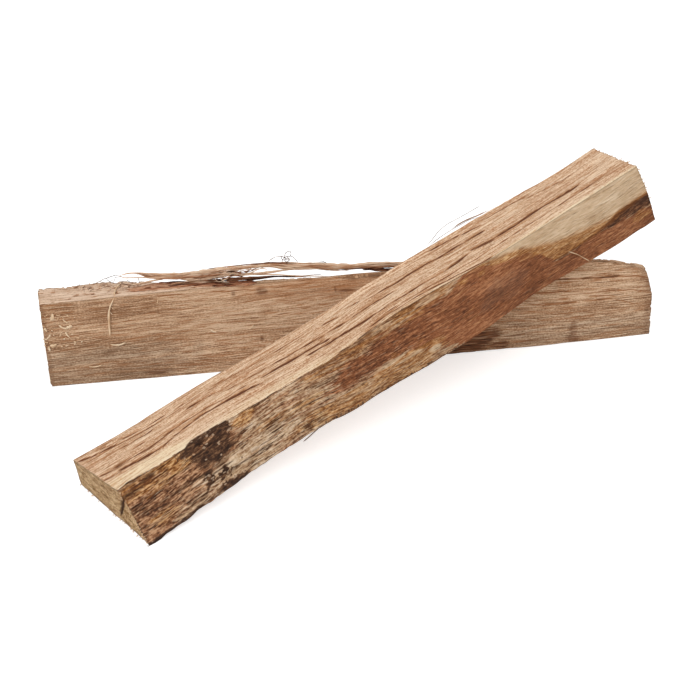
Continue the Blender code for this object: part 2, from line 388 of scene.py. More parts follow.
class Shader:
    """A small builder of node materials. self.colour is the colour that has been mixed so far."""

    def __init__(self, name):
        self.material = bpy.data.materials.new(name)
        self.material.use_nodes = True
        self.tree = self.material.node_tree
        self.surface = self.tree.nodes["Principled BSDF"]
        self.surface.inputs["Specular IOR Level"].default_value = 0.25
        self.grain = self.node("ShaderNodeAttribute", attribute_name="grain").outputs["Vector"]

    def fill(self, socket, value):
        if isinstance(value, bpy.types.NodeSocket):
            self.tree.links.new(value, socket)
        else:
            socket.default_value = value

    def node(self, kind, inputs=(), **settings):
        """A new node with these settings, and inputs by name or number: values, or other nodes' sockets."""
        made = self.tree.nodes.new(kind)
        for name, value in settings.items():
            setattr(made, name, value)
        for name, value in dict(inputs).items():
            self.fill(made.inputs[name], value)
        return made

    def field(self, name):
        return self.node("ShaderNodeAttribute", attribute_name=name).outputs["Fac"]

    def cells(self, long, wide, detail=2.0, shift=0.0, deep=1000.0, distortion=0.0):
        """Noise around 0.5 whose cells have this size in mm along the stored grain, across it and up."""
        scale = [1.0 / (size * MM) for size in (long, wide, deep)]
        inputs = {0: self.grain, 1: scale, 2: (shift, shift, shift)}
        place = self.node("ShaderNodeVectorMath", inputs, operation="MULTIPLY_ADD").outputs["Vector"]
        inputs = {"Vector": place, "Scale": 1.0, "Detail": detail, "Distortion": distortion}
        return self.node("ShaderNodeTexNoise", inputs).outputs["Fac"]

    def math(self, operation, *values, clamp=False):
        made = self.node("ShaderNodeMath", enumerate(values), operation=operation, use_clamp=clamp)
        return made.outputs[0]

    def times(self, first, second, added=0.0, clamp=False):
        """first times second, plus added."""
        return self.math("MULTIPLY_ADD", first, second, added, clamp=clamp)

    def part_way(self, share, first, second):
        """The number this share of the way from first to second."""
        return self.times(share, self.math("SUBTRACT", second, first), first)

    def blend(self, *parts):
        """0.5 plus the sum of each noise's swing around 0.5 times its weight."""
        total = 0.5 - 0.5 * sum(weight for _, weight in parts)
        for value, weight in parts:
            total = self.times(value, weight, total)
        return total

    def between(self, value, start, end):
        """0 at start and 1 at end, smooth between. start may be above end."""
        low, high, turned = min(start, end), max(start, end), float(start > end)
        inputs = {"Value": value, "From Min": low, "From Max": high, "To Min": turned, "To Max": 1.0 - turned}
        return self.node("ShaderNodeMapRange", inputs, interpolation_type="SMOOTHSTEP").outputs["Result"]

    def colours(self, value, places, tones):
        """A colour ramp with the tones, each in 0 to 255, at the places."""
        made = self.node("ShaderNodeValToRGB", {"Fac": value})
        points = made.color_ramp.elements
        while len(points) < len(tones):
            points.new(0.5)
        for point, place, tone in zip(points, places, tones):
            point.position = place
            point.color = srgb(*tone)
        return made.outputs["Color"]

    def mixed(self, share, first, second):
        inputs = {"Factor": share, 6: first, 7: second}
        return self.node("ShaderNodeMix", inputs, data_type="RGBA").outputs[2]

    def cover(self, share, colour):
        """Mixes another colour over the one so far."""
        self.colour = self.mixed(share, self.colour, colour)

    def broken(self, zone, streaks, roughness=0.5, edge=0.28):
        """A named field's soft edge broken up by streaks of noise. Where the field is 0 or 1, it stays so."""
        zone = self.field(zone)
        soft = self.times(zone, self.math("SUBTRACT", 1.0, zone))
        wander = self.times(self.math("SUBTRACT", streaks, 0.5), roughness * 16.0)
        return self.between(self.times(soft, wander, zone), edge, 1.0 - edge)

    def finish(self, height, depth, roughness):
        """Sets the colour, a bump of the given depth in mm, and the roughness."""
        bump = self.node("ShaderNodeBump", {"Strength": 1.0, "Distance": depth * MM, "Height": height})
        self.fill(self.surface.inputs["Normal"], bump.outputs["Normal"])
        self.fill(self.surface.inputs["Base Color"], self.colour)
        self.fill(self.surface.inputs["Roughness"], roughness)
        return self.material


def split_wood(name, tones, pore_tones, sap_tones, stretch, weights, relief):
    """Split oak: pale fibres, long dark pore lines and a band of sapwood."""
    s = Shader(name)
    fibres = s.cells(22 * stretch, 1.0, 4.0)
    hairs = s.cells(9 * stretch, 0.6, 2.0, 17.0)
    streaks = s.cells(55 * stretch, 2.6, 2.0, 11.0)
    broad = s.cells(80 * stretch, 12, 1.0, 23.0)
    specks = s.cells(1.3, 0.7, 1.0, 37.0)
    lines = s.cells(30 * stretch, 0.45, 1.0, 67.0)
    tone = s.blend(*zip((fibres, hairs, streaks, broad, specks, lines), weights))
    tone = s.times(s.field("tone"), 0.10, tone)
    s.colour = s.colours(tone, (0.22, 0.40, 0.55, 0.78), tones)
    sap = s.times(s.field("sap"), s.between(fibres, 0.20, 0.50))
    s.cover(sap, s.colours(tone, (0.25, 0.60), sap_tones))
    threads = s.cells(46 * stretch, 0.85, 2.0, 53.0)
    threads = s.times(s.between(threads, 0.405, 0.365), s.between(hairs, 0.62, 0.46))
    slits = s.math("ABSOLUTE", s.math("SUBTRACT", s.cells(70 * stretch, 2.4, 1.5, 59.0), 0.47))
    slits = s.times(s.between(slits, 0.060, 0.025), s.between(hairs, 0.58, 0.46))
    threads = s.times(s.math("MAXIMUM", threads, slits), s.field("thread"))
    lines = s.times(s.field("pore"), s.between(hairs, 0.85, 0.35))
    dark = s.times(lines, 1.5, threads, clamp=True)
    s.cover(s.times(s.field("halo"), s.between(fibres, 0.72, 0.30)), srgb(*pore_tones[0]))
    s.cover(s.between(dark, 0.0, 0.5), s.colours(dark, (0.25, 0.9), pore_tones))
    dusty = s.times(s.field("dust"), s.between(streaks, 0.25, 0.60))
    s.cover(dusty, s.colours(tone, (0.25, 0.70), ((112, 92, 72), (178, 158, 136))))
    stain = s.times(s.field("stain"), s.times(s.between(fibres, 0.60, 0.45), 0.5, 0.6), clamp=True)
    s.cover(stain, s.colours(hairs, (0.35, 0.65), ((66, 36, 22), (138, 90, 58))))
    height = s.times(dark, -0.5, s.blend((fibres, 0.8), (hairs, 0.7), (specks, 0.3)))
    return s.finish(height, relief, s.times(specks, 0.25, 0.68))


def leaning_bark(name):
    """The leaning log's bark side: fibrous inner bark, red-brown, ochre, pale and dark zones."""
    s = Shader(name)
    fibres = s.cells(10, 0.9, 4.0)
    hairs = s.cells(4.5, 0.65, 2.0, 3.0)
    streaks = s.cells(26, 1.9, 3.0, 7.0)
    broad = s.cells(26, 7, 2.0, 19.0)
    clots = s.cells(6.5, 2.4, 5.0, 31.0)
    flecks = s.cells(1.8, 1.3, 2.0, 41.0)
    wisps = s.cells(20, 1.2, 3.0, 61.0)
    rough = s.field("rough")
    strong = s.blend((fibres, 0.9), (hairs, 1.3), (clots, 1.5), (flecks, 1.2), (streaks, 0.9), (broad, 1.0))
    calm = s.blend((fibres, 0.7), (hairs, 0.9), (flecks, 0.4), (streaks, 0.4), (broad, 0.4))
    tone = s.times(s.field("tone"), 0.25, s.part_way(rough, calm, strong))
    quiet = s.blend((fibres, 0.6), (hairs, 0.5), (streaks, 0.45), (broad, 0.5))
    quiet = s.part_way(rough, quiet, tone)
    blotched = s.blend((clots, 0.8), (flecks, 0.5), (hairs, 0.4))
    inner_tones = ((112, 76, 50), (156, 118, 86), (188, 154, 120), (216, 190, 162))
    umber_tones = ((70, 40, 22), (120, 78, 50), (154, 108, 76), (196, 152, 114))
    inner = s.colours(tone, (0.15, 0.32, 0.52, 0.80), inner_tones)
    umber = s.colours(tone, (0.18, 0.42, 0.62, 0.84), umber_tones)
    red = s.colours(tone, (0.18, 0.50, 0.84), ((88, 48, 25), (136, 81, 48), (186, 127, 87)))
    gold = s.colours(tone, (0.22, 0.50, 0.80), ((116, 66, 26), (172, 116, 62), (216, 172, 120)))
    pale = s.colours(quiet, (0.20, 0.50, 0.80), ((172, 138, 102), (206, 176, 142), (230, 206, 176)))
    dark = s.colours(blotched, (0.32, 0.50, 0.66), ((42, 24, 13), (74, 46, 28), (126, 90, 62)))
    chips = s.times(s.between(s.cells(4.5, 2.6, 1.0, 71.0), 0.635, 0.665), s.between(flecks, 0.30, 0.45))
    dark = s.mixed(s.times(chips, 0.85), dark, srgb(176, 148, 122))
    s.colour = s.mixed(s.broken("umber", streaks, 0.8), inner, umber)
    s.cover(s.broken("red", streaks, 1.5), red)
    s.cover(s.times(s.broken("gold", wisps, 0.6, 0.15), 0.85), gold)
    s.cover(s.broken("pale", wisps, 0.45, 0.10), pale)
    s.cover(s.times(s.between(wisps, 0.60, 0.68), s.times(rough, -0.15, 0.3)), gold)
    glints = s.between(s.cells(9, 0.8, 2.0, 83.0), 0.61, 0.66)
    s.cover(s.times(glints, s.times(rough, 0.45, 0.10)), srgb(214, 182, 148))
    s.cover(s.times(s.broken("haze", broad, 0.3, 0.1), 0.4), srgb(122, 90, 72))
    threads = s.times(s.between(s.cells(12, 1.0, 2.0, 47.0), 0.41, 0.37), s.between(hairs, 0.58, 0.46))
    threads = s.times(threads, s.times(rough, 0.70, 0.25))
    furrow = s.times(s.field("furrow"), s.between(hairs, 0.80, 0.36), threads, clamp=True)
    s.cover(s.times(furrow, 0.85), srgb(70, 40, 22))
    s.cover(s.broken("dark", flecks, 0.7), dark)
    height = s.times(furrow, -0.5, s.blend((fibres, 0.7), (hairs, 0.5), (clots, 0.3), (flecks, 0.2)))
    return s.finish(height, 0.8, s.times(broad, 0.30, 0.60))


def outer_bark(name):
    """The flat log's far side: brown furrowed bark."""
    s = Shader(name)
    clots = s.cells(6, 2.2, 5.0, distortion=0.4)
    fine = s.cells(2.2, 0.7, 3.0, 13.0)
    broad = s.cells(35, 12, 2.0, 29.0)
    tone = s.times(clots, 0.6, s.times(fine, 0.4))
    s.colour = s.colours(
        tone, (0.34, 0.48, 0.60, 0.72), ((84, 62, 46), (122, 96, 74), (150, 126, 102), (176, 156, 132))
    )
    s.cover(s.between(broad, 0.45, 0.62), s.colours(tone, (0.36, 0.64), ((96, 82, 68), (160, 148, 130))))
    s.cover(s.field("furrow"), s.colours(fine, (0.3, 0.7), ((40, 28, 20), (92, 60, 40))))
    return s.finish(s.times(clots, 0.7, s.times(fine, 0.3)), 1.2, s.times(fine, 0.2, 0.78))


def sawn_end(name, shift):
    """A sawn end: growth rings, rays, fine pores and the saw's scratches."""
    s = Shader(name)
    pores = s.cells(1.0, 1.0, 3.0, shift, 0.8)
    rings = s.cells(9000, 9, 3.0, shift, 1.6, 0.2)
    scratches = s.cells(9000, 0.9, 2.0, shift, 8, 0.1)
    broad = s.cells(9000, 9, 2.0, shift, 6)
    tone = s.blend((rings, 1.3), (pores, 1.6), (scratches, 0.4), (broad, 0.7))
    tones = ((118, 84, 50), (172, 134, 92), (200, 165, 121), (230, 202, 162))
    s.colour = s.colours(tone, (0.20, 0.42, 0.60, 0.82), tones)
    # dark tones for the cracks and for the painted shadow under the proud bark
    crack_and_shadow_tones = s.colours(pores, (0.35, 0.65), ((52, 32, 20), (86, 58, 40)))
    s.cover(s.between(s.field("crack"), 0.15, 0.75), crack_and_shadow_tones)
    height = s.blend((pores, 1.0), (scratches, 0.7), (rings, 0.5))
    return s.finish(height, 0.7, s.times(pores, 0.2, 0.75))


def fibre_material(name, *tones):
    """Loose fibre or torn bast, streaked along its length."""
    s = Shader(name)
    streaks = s.cells(8, 0.7, 3.0)
    broad = s.cells(14, 2.5, 2.0, 5.0, 700)
    tone = s.times(s.field("tone"), 0.22, s.blend((streaks, 1.3), (broad, 0.8)))
    s.colour = s.colours(tone, map(float, np.linspace(0.15, 0.80, len(tones))), tones)
    return s.finish(streaks, 0.25, s.times(streaks, 0.2, 0.65))


# ---------------------------------------------------------------- the leaning log

LEAN_YAW = math.radians(27.7)
LEAN_PITCH = math.radians(11.2)
LEAN_CUT_SKEW = -0.054  # the near cut falls back across the log
LEAN_CUT_LEAN = 0.033  # and leans forward with height
LEAN_EXTRA = 1.8 * MM  # this log was sawn a little longer
# Each side's first corner, as the direction in which it sticks out, and the side's number of points
LEAN_SIDES = {
    "bark": ((-0.90, -0.45), 78),
    "top": ((-0.45, 0.90), 120),
    "heart": ((0.60, 0.80), 16),
    "under": ((0.80, -0.60), 32),
}
OVERHANG_COLUMNS = 14  # columns of the top face that the bark may reach over
WOOD_FIELDS = ("pore", "halo", "thread", "sap", "tone", "stain", "dust")
BARK_FIELDS = ("dark", "umber", "red", "gold", "pale", "haze", "furrow", "rough")
# Main pore lines of the top face: strength, half width (mm), places along (mm), thousandths of the width
PORE_LINES = [
    (1.0, 0.6, (0, 12, 25), (900, 860, 825)), (0.8, 0.5, (15, 22), (900, 895)),
    (0.9, 0.5, (25, 40, 60), (810, 790, 769)), (0.5, 0.38, (60, 100, 160), (769, 775, 775)),
    (0.8, 0.45, (30, 42, 60), (870, 850, 840)), (0.9, 0.5, (68, 86, 108), (830, 810, 800)),
    (0.7, 0.45, (25, 46), (710, 700)), (0.8, 0.45, (70, 86, 100), (684, 670, 640)),
    (0.6, 0.4, (28, 36), (570, 560)), (1.1, 0.62, (95, 120, 150, 175, 220), (566, 556, 560, 530, 495)),
    (0.9, 0.55, (170, 182), (745, 700)), (0.7, 0.4, (190, 200), (765, 745)),
    (1.1, 0.65, (205, 223, 242, 260, 295), (670, 645, 665, 645, 645)), (0.8, 0.45, (262, 274), (610, 590)),
    (0.9, 0.5, (260, 276, 286, 299), (915, 885, 840, 800)), (0.6, 0.4, (302, 318, 342), (900, 870, 850)),
    (0.7, 0.4, (335, 350, 372), (815, 770, 730)),
    (0.6, 0.9, (0, 20, 34, 54, 78, 90, 106), (425, 430, 400, 470, 470, 425, 450)),
    (1.3, 0.75, (12, 25, 40, 50, 70, 82, 104, 112), (354, 295, 270, 330, 388, 368, 354, 320)),
    (0.8, 0.5, (0, 16), (330, 310)), (1.1, 1.0, (115, 130, 148, 164), (420, 432, 436, 410)),
    (1.3, 0.75, (145, 165, 185, 205, 235, 255, 272), (340, 328, 290, 262, 275, 300, 370)),
    (1.3, 0.9, (275, 290, 305, 330, 366), (400, 350, 364, 400, 392)), (0.8, 0.5, (180, 196), (60, 55)),
    (0.9, 0.5, (185, 210, 245, 278), (110, 90, 70, 30)),
    (0.6, 0.45, (190, 240, 260, 330, 380), (150, 130, 165, 212, 236)),
]
# Broad honey-brown bands of the top face, in the same terms
HONEY_BANDS = [
    (0.9, 2.8, (15, 40, 55, 70, 110), (330, 300, 380, 420, 400)),
    (0.8, 2.4, (115, 140, 170), (430, 430, 380)),
    (0.8, 2.8, (145, 185, 210, 250, 275), (330, 290, 270, 300, 370)),
    (0.8, 3.0, (275, 300, 330, 370), (380, 370, 390, 390)),
    (0.5, 2.2, (95, 130, 175, 220), (560, 560, 530, 500)), (0.5, 2.5, (205, 240, 295), (660, 655, 645)),
    (0.5, 2.2, (0, 25, 60), (880, 820, 780)), (0.6, 2.0, (180, 220, 280), (100, 90, 40)),
]
# Long furrows of the leaning log's bark side, in the same terms
BARK_FURROWS = [
    (1.0, 0.6, (3, 20, 40), (490, 470, 490)), (0.9, 0.5, (2, 22), (600, 580)),
    (0.9, 0.5, (10, 32), (350, 340)), (0.8, 0.5, (24, 46), (720, 700)), (0.8, 0.6, (5, 25), (210, 220)),
    (0.9, 0.5, (77, 96), (170, 180)), (0.9, 0.5, (80, 105), (290, 280)), (0.8, 0.5, (90, 115), (460, 430)),
    (0.7, 0.45, (82, 102), (660, 640)), (0.7, 0.5, (105, 135), (600, 560)),
    (0.8, 0.6, (120, 150), (500, 470)), (0.7, 0.6, (140, 170, 205), (90, 80, 100)),
    (0.7, 0.6, (130, 160), (720, 700)), (0.6, 0.6, (155, 190), (560, 560)),
    (0.6, 0.6, (170, 220), (740, 760)),
]
# Dark lines of the flat log's front, in the same terms
FLAT_LINES = [
    (0.9, 0.5, (335, 355, 372, 386, 399), (790, 790, 800, 830, 870)),
    (0.7, 0.4, (360, 374, 386), (815, 820, 845)), (0.8, 0.4, (314, 330, 349), (515, 500, 495)),
    (0.8, 0.4, (362, 372, 388), (510, 515, 450)), (0.6, 0.4, (370, 382, 399), (620, 630, 650)),
    (0.6, 0.4, (356, 376), (560, 550)), (0.5, 0.4, (320, 360), (330, 310)),
    (0.7, 0.4, (368, 380), (170, 190)), (0.6, 0.4, (302, 332), (90, 70)), (0.5, 0.4, (8, 32), (600, 605)),
    (0.5, 0.4, (44, 64), (475, 490)), (0.4, 0.4, (20, 40), (290, 260)), (0.4, 0.4, (50, 80), (150, 170)),
    (0.5, 0.4, (163, 200), (850, 845)), (0.7, 0.4, (194, 204), (840, 830)),
    (0.4, 0.4, (110, 136), (935, 930)),
]
# Light and dark wisps of the flat log's front, with the half width in thousandths of the width too
FLAT_WISPS = [
    (1.7, 18, (43, 65, 80, 98, 120), (545, 545, 555, 590, 550)),
    (1.4, 20, (45, 80, 105, 126, 155), (735, 757, 780, 772, 765)),
    (1.3, 16, (90, 130, 170, 185), (620, 625, 620, 640)), (0.9, 30, (75, 100, 140), (365, 370, 380)),
    (1.2, 8, (96, 130), (255, 240)), (0.9, 20, (120, 160, 190), (700, 715, 730)),
    (0.8, 20, (5, 40, 80), (660, 660, 690)), (0.6, 20, (5, 45), (885, 900)),
    (1.0, 10, (16, 27), (180, 180)), (1.0, 12, (10, 140, 240), (985, 980, 980)),
    (-0.8, 90, (0, 40, 90), (250, 200, 150)), (-1.0, 100, (88, 110, 140), (150, 170, 200)),
    (-0.6, 60, (135, 170, 210), (870, 870, 870)), (0.8, 200, (300, 350, 400), (600, 650, 700)),
    (-0.5, 120, (300, 350, 400), (120, 120, 120)),
]


def pore_field(log, side, lines, seed, sway=0.0):
    """Dark broken lines along the swaying grain on one side, from 0 to 1."""
    along, share, across = log.side(side)
    width = across[:, -1:] + 1.0
    total = np.zeros_like(along)
    for k, (strength, half, places, shares) in enumerate(lines, seed):
        centre = np.interp(along, places, shares) / 1000.0 + 0.007 * noise(along / 9, 0.0, k)
        away = np.abs((share - centre) * width + sway)
        wide = half * (1.0 + 0.4 * noise(along / 7, 3.0, k))
        within = stretch_of(along, places[0] - 2, places[0] + 3, places[-1] - 3, places[-1] + 2)
        dashes = 0.85 + 0.4 * layered(along / 6, 7.0, k, 2)
        total = np.maximum(total, strength * within * dashes * np.exp(-((away / wide) ** 2)))
    return np.clip(total, 0.0, 1.0)


def random_lines(count, seed, longest, starts=(-10, 400)):
    """Faint pore lines up to longest in mm, with their starts spread over one stretch of a side."""
    draw = np.random.default_rng(seed)
    lines = []
    for _ in range(count):
        start, share = draw.uniform(*starts), draw.uniform(20, 990)
        end = start + draw.uniform(0.2, 1.0) * longest
        lines.append((draw.uniform(0.2, 0.75), 0.45, (start, end), (share, share + draw.normal(0.0, 6.0))))
    return lines


def lean_axes():
    """The leaning log's own three directions, in the frame."""
    cy, sy = math.cos(LEAN_YAW), math.sin(LEAN_YAW)
    cp, sp = math.cos(LEAN_PITCH), math.sin(LEAN_PITCH)
    return [(cy * cp, sy * cp, sp), (-sy, cy, 0.0), (-cy * sp, -sy * sp, cp)]


def lean_end_shape(across, up, from_bark, at_far_end):
    """How many mm the wood at a sawn end is set back from the plain cut, and how dark its cracks and the
    painted shadow under the near end's proud bark are.
    """
    rough = 0.20 * (1.0 + mottled(across, up, 1.6, 2.5, 301))
    if at_far_end:
        torn = ramp(mottled(across, up, 3, 6, 311), 0.05, 0.6)
        check = np.abs(up - 24 - 0.25 * across + 1.2 * noise(across / 6, 0.0, 315))
        return rough + torn, ramp(check, 0.7, 0.2) * ramp(across, 10, 18)
    crack = 22.3 + 0.42 * (22 - up) + 0.7 * noise(up / 4, 0.0, 321)
    behind = ramp(across, crack + 0.5, crack - 0.5)
    depth = 0.5 + 2.4 * ramp(up, 2, 19)
    lip = ramp(from_bark, 0.2, 1.6)  # the bark stands proud of the wood behind the crack
    shaded = 2.5 * depth  # the proud bark hides the wood this near it, and that wood's shadow is painted dark, darkest along a line
    # painted shadow of the proud bark on the wood behind the crack, passed on together with the cracks
    lip_shadow = 0.35 + 0.65 * ramp(np.abs(from_bark - shaded - 1.2), 1.9, 0.9)
    lip_shadow = lip_shadow * ramp(from_bark, shaded + 3.2, shaded + 1.4) * behind
    seam = ramp(np.abs(across - crack + 0.9), 1.5, 0.5)
    return rough + depth * behind * lip, np.clip(0.85 * lip_shadow + 0.8 * seam * ramp(up, 1, 8), 0.0, 1.0)


def shape_lean_top(log):
    """Fibres, pore grooves and torn terraces on the leaning log's upper split face."""
    along, share, across = log.side("top")
    sway = 0.8 * mottled(along, across, 26, 22, 451, 2)
    place = across + sway
    pores = pore_field(log, "top", PORE_LINES, 401, sway)
    pores = np.clip(pores * (1.1 + 0.4 * ramp(along, 90, 30)), 0.0, 1.0)
    faint = pore_field(log, "top", random_lines(70, 5, 60), 601, sway)
    fine = pore_field(log, "top", random_lines(46, 8, 26, (-10, 26)), 651, sway)
    fibre = mottled(along, place, 20, 0.9, 411)
    swell = mottled(along, place, 60, 13, 421, 2)
    terrace = ramp(mottled(along, place, 80, 3.5, 431, 2), -0.12, 0.12)
    grooves = 0.75 * pores + 0.25 * faint + 0.30 * fine
    stations = (0, 22, 42, 60, 90, 120, 150, 180, 230, 400)
    sap_width = np.interp(along, stations, (0.23, 0.24, 0.19, 0.07, 0.12, 0.15, 0.12, 0.06, 0.025, 0.02))
    sap_width = sap_width + 0.03 * wandering(along, 14, 441, 2)
    cream = np.interp(along, stations, (1.0, 1.0, 1.0, 0.60, 0.62, 0.70, 0.60, 0.60, 0.8, 0.9))
    sap = cream * ramp(share, sap_width + 0.06, sap_width - 0.06)
    log.shape(
        "top",
        0.10 + 0.20 * fibre + 0.30 * swell + 0.25 * terrace - grooves,
        place,
        sap=np.maximum(sap, ramp(share, 0.050, 0.025) * ramp(along, 235, 260)),
        pore=np.clip(pores + 0.30 * faint + 0.5 * fine, 0.0, 1.0),
        halo=0.8 * pore_field(log, "top", HONEY_BANDS, 471, sway),
        thread=0.25 * ramp(share, sap_width, sap_width + 0.1),
        tone=0.8 * swell + 0.4 * (terrace - 0.5),
    )
    upper = ramp(share, 0.86, 0.99) * ramp(along, 170, 220) * (0.8 + 0.5 * layered(along / 8, share * 4, 475))
    log.stand_out("top", upper, 0.9, 1.1)


def bark_patches(along, share):
    """The dark outer bark that is left near the leaning log's near end."""
    dark = patch(along, share, (60.5, 0.95), (18.5, 0.24), 0.28, 511)
    dark = np.maximum(dark, patch(along, share, (60.0, 0.73), (14.5, 0.24), 0.35, 513))
    dark = dark * ramp(along + 7.0 * (share - 0.85), 78.5, 76.5)
    bared = ramp(np.abs(share - np.interp(along, (46, 68), (0.82, 0.95))), 0.040, 0.010)
    dark = dark * (1.0 - 0.6 * bared * stretch_of(along, 44, 49, 62, 70))
    crumbs = ramp(layered(along / 5.5, share * 8.0, 521, 4), 0.14, 0.30)
    dark = np.maximum(dark, crumbs * patch(along, share, (59, 0.26), (17, 0.26), 0.3, 523))
    dark = np.maximum(dark, patch(along, share, (63, 0.02), (11, 0.11), 0.45, 525))
    return np.maximum(dark, ramp(share, 0.07, 0.02) * ramp(along, 60, 20))


def bark_zones(along, share):
    """How far each colour of bark or bare wood covers the leaning log's outer side."""
    wave = share + 0.05 * layered(along / 20, share * 3, 501, 2)
    dark = bark_patches(along, share)

    umber = np.maximum(ramp(along, 60, 30), patch(along, wave, (55, 0.70), (26, 0.36), 0.3, 531))
    umber = np.maximum(umber, 0.34 * stretch_of(along, 80, 105, 130, 180))
    umber = np.maximum(umber, 0.6 * ramp(share, 0.70, 0.95) * ramp(along, 70, 85))

    wander = 0.03 * layered(along / 14, share * 3, 541, 2)
    red_edge = wander + np.interp(
        along,
        (240, 265, 275, 282, 298, 304, 310, 314, 320, 355, 365, 375, 400),
        (1.08, 1.00, 0.93, 0.87, 0.80, 0.72, 0.62, 0.46, 0.38, 0.39, 0.43, 0.49, 0.53),
    )
    pale_edge = wander + np.interp(
        along,
        (240, 275, 298, 310, 320, 335, 355, 365, 375, 400),
        (1.15, 1.00, 0.90, 0.78, 0.70, 0.63, 0.56, 0.51, 0.53, 0.56),
    )
    low = np.interp(along, (110, 135, 160, 200, 225, 245), (0.66, 0.44, 0.38, 0.34, 0.10, -0.20))
    high = np.interp(along, (110, 140, 170, 240, 260), (0.70, 0.74, 0.82, 0.88, 1.15))
    red = ramp(along, 118, 160) * ramp(share, red_edge + 0.03, red_edge - 0.03)
    red = red * ramp(share, low - 0.14, low + 0.14) * ramp(share, high + 0.12, high - 0.12)

    gold = np.maximum(0.60 * patch(along, wave, (12, 0.92), (34, 0.22), 0.5, 551), patches(
        along, wave, 0.4, 561, (
            (37.5, 0.86, 8, 0.13, 1.0), (18, 0.22, 12, 0.12, 0.45), (85, 0.90, 8, 0.14, 0.9),
            (115, 0.55, 25, 0.12, 0.55), (150, 0.17, 45, 0.20, 0.72), (190, 0.20, 30, 0.24, 0.72),
            (190, 0.92, 70, 0.16, 0.55), (312, 0.70, 24, 0.10, 0.45), (390, 0.22, 8, 0.08, 0.5),
        ),
    ))
    between_edges = stretch_of(share, red_edge - 0.08, red_edge + 0.02, pale_edge, pale_edge + 0.14)
    gold = np.maximum(gold, 0.85 * between_edges * ramp(along, 235, 260))
    pale = np.maximum(ramp(share, pale_edge - 0.12, pale_edge + 0.10), patches(
        along, share, 0.4, 571, (
            (185, 0.38, 15, 0.04, 0.60), (198, 0.29, 12, 0.03, 0.50), (155, 0.24, 16, 0.05, 0.35),
            (66, 0.30, 12, 0.25, 0.45), (217, 0.20, 4.8, 0.055, 0.75), (90, 0.25, 30, 0.20, 0.35),
            (34, 0.12, 13, 0.15, 0.42), (44, 0.42, 6, 0.06, 0.40), (190, 0.95, 10, 0.05, 0.40),
            (226, 0.92, 9, 0.05, 0.40),
        ),
    ))
    stations = (315, 350, 365, 375, 400)
    middle = np.interp(along, stations, (0.345, 0.375, 0.41, 0.44, 0.42))
    reach = np.interp(along, stations, (0.015, 0.030, 0.060, 0.100, 0.110))
    band = ramp(np.abs(share - middle - wander) / reach, 1.4, 0.5) * ramp(along, 312, 322)
    band = band * (0.55 + 0.45 * ramp(along, 355, 370))
    shade = stretch_of(along, 130, 150, 210, 240) + patch(along, share, (300, 0.45), (16, 0.38), 0.5, 577)
    mottle = layered(along / 22, share * 5, 579) * ramp(along, 160, 200)
    return {
        "dark": np.maximum(dark, 0.55 * ramp(share, 0.07, 0.015) * stretch_of(along, 115, 140, 220, 250)),
        "umber": np.maximum(umber, band),
        "red": red * (1.0 - band),
        "gold": gold,
        "pale": pale * (1.0 - band),
        "haze": 0.55 * patch(along, share, (275, 0.42), (22, 0.22), 0.4, 575),
        "tone": 0.12 - 1.5 * band - 0.35 * shade + 0.6 * mottle,
        "rough": np.interp(along, (0, 45, 75, 110, 160, 200, 250), (1.0, 1.0, 0.78, 0.70, 0.42, 0.35, 0.0)),
    }


def shape_lean_bark(log):
    """Bark plates, inner bark and bare sapwood on the leaning log's outer side."""
    along, share, across = log.side("bark")
    zones = bark_zones(along, share)
    rough = ramp(along, 160, 110)  # the bark is rough towards the near end and worn smooth beyond
    furrow = ramp(mottled(along, across, 20, 1.8, 581), 0.28, 0.50) * (0.25 + 0.75 * rough)
    furrow = np.maximum(furrow, pore_field(log, "bark", BARK_FURROWS, 617))
    height = 0.05 + (0.18 + 0.14 * rough) * mottled(along, across, 12, 0.9, 591)
    height += (0.25 + 0.35 * rough) * mottled(along, across, 16, 5, 601)
    height += 0.25 * rough * mottled(along, across, 4, 2.2, 603)
    height += 0.40 * zones["dark"] * ramp(along, 120, 90) - (0.30 + 0.55 * rough) * furrow
    log.shape("bark", height, across + 0.8 * mottled(along, across, 18, 6, 611, 2), furrow=furrow, **zones)
    foot = ramp(share, 0.16, 0.02) * ramp(along, 170, 150) * (0.75 + 0.5 * layered(along / 9, share * 4, 613))
    log.stand_out("bark", foot, 1.1, 1.5)


def shape_plain_split(log, side, seed):
    """A split face seen only from the far side or below: fibres, swells and short pore lines."""
    along, _, across = log.side(side)
    faint = pore_field(log, side, random_lines(90, seed, 50), seed)
    swell = mottled(along, across, 50, 12, seed + 2, 2)
    height = 0.20 * mottled(along, across, 15, 1.6, seed + 1) + 0.35 * swell - 0.3 * faint
    log.shape(side, height, across, pore=faint, tone=swell)


def share_bark_over_ridge(log):
    """Lets the bark's looks reach a little over the ridge, and says which faces of the top are bark."""
    along, top = log.along[:, 0] / MM, log.columns["top"]
    overhang = np.interp(
        along,
        (0, 6, 16, 30, 45, 53, 78, 82, 145, 160, 180, 190, 240, 400),
        (0.02, 0.045, 0.025, 0.02, 0.012, 0.035, 0.035, 0.008, 0.010, 0.03, 0.03, 0.008, 0.0, 0.0),
    )
    waves = 0.014 * noise(along / 9, 0.0, 743) + 0.010 * wandering(along, 3, 741)
    wavy = overhang + (overhang > 0.0) * waves
    held = slice(top.start, top.start + OVERHANG_COLUMNS)
    for field in BARK_FIELDS:
        log.fields[field][:, held] = log.fields[field][:, top.start - 1 : top.start]
    rim = ramp(np.abs(log.share[:, top] - wavy[:, None]), 0.020, 0.004) * ramp(wavy, 0.012, 0.026)[:, None]
    for field, strength in (("stain", 0.9), ("dark", 0.8)):
        log.fields[field][:, top] = np.maximum(log.fields[field][:, top], strength * rim)
    return log.share[:, top] < wavy[:, None]


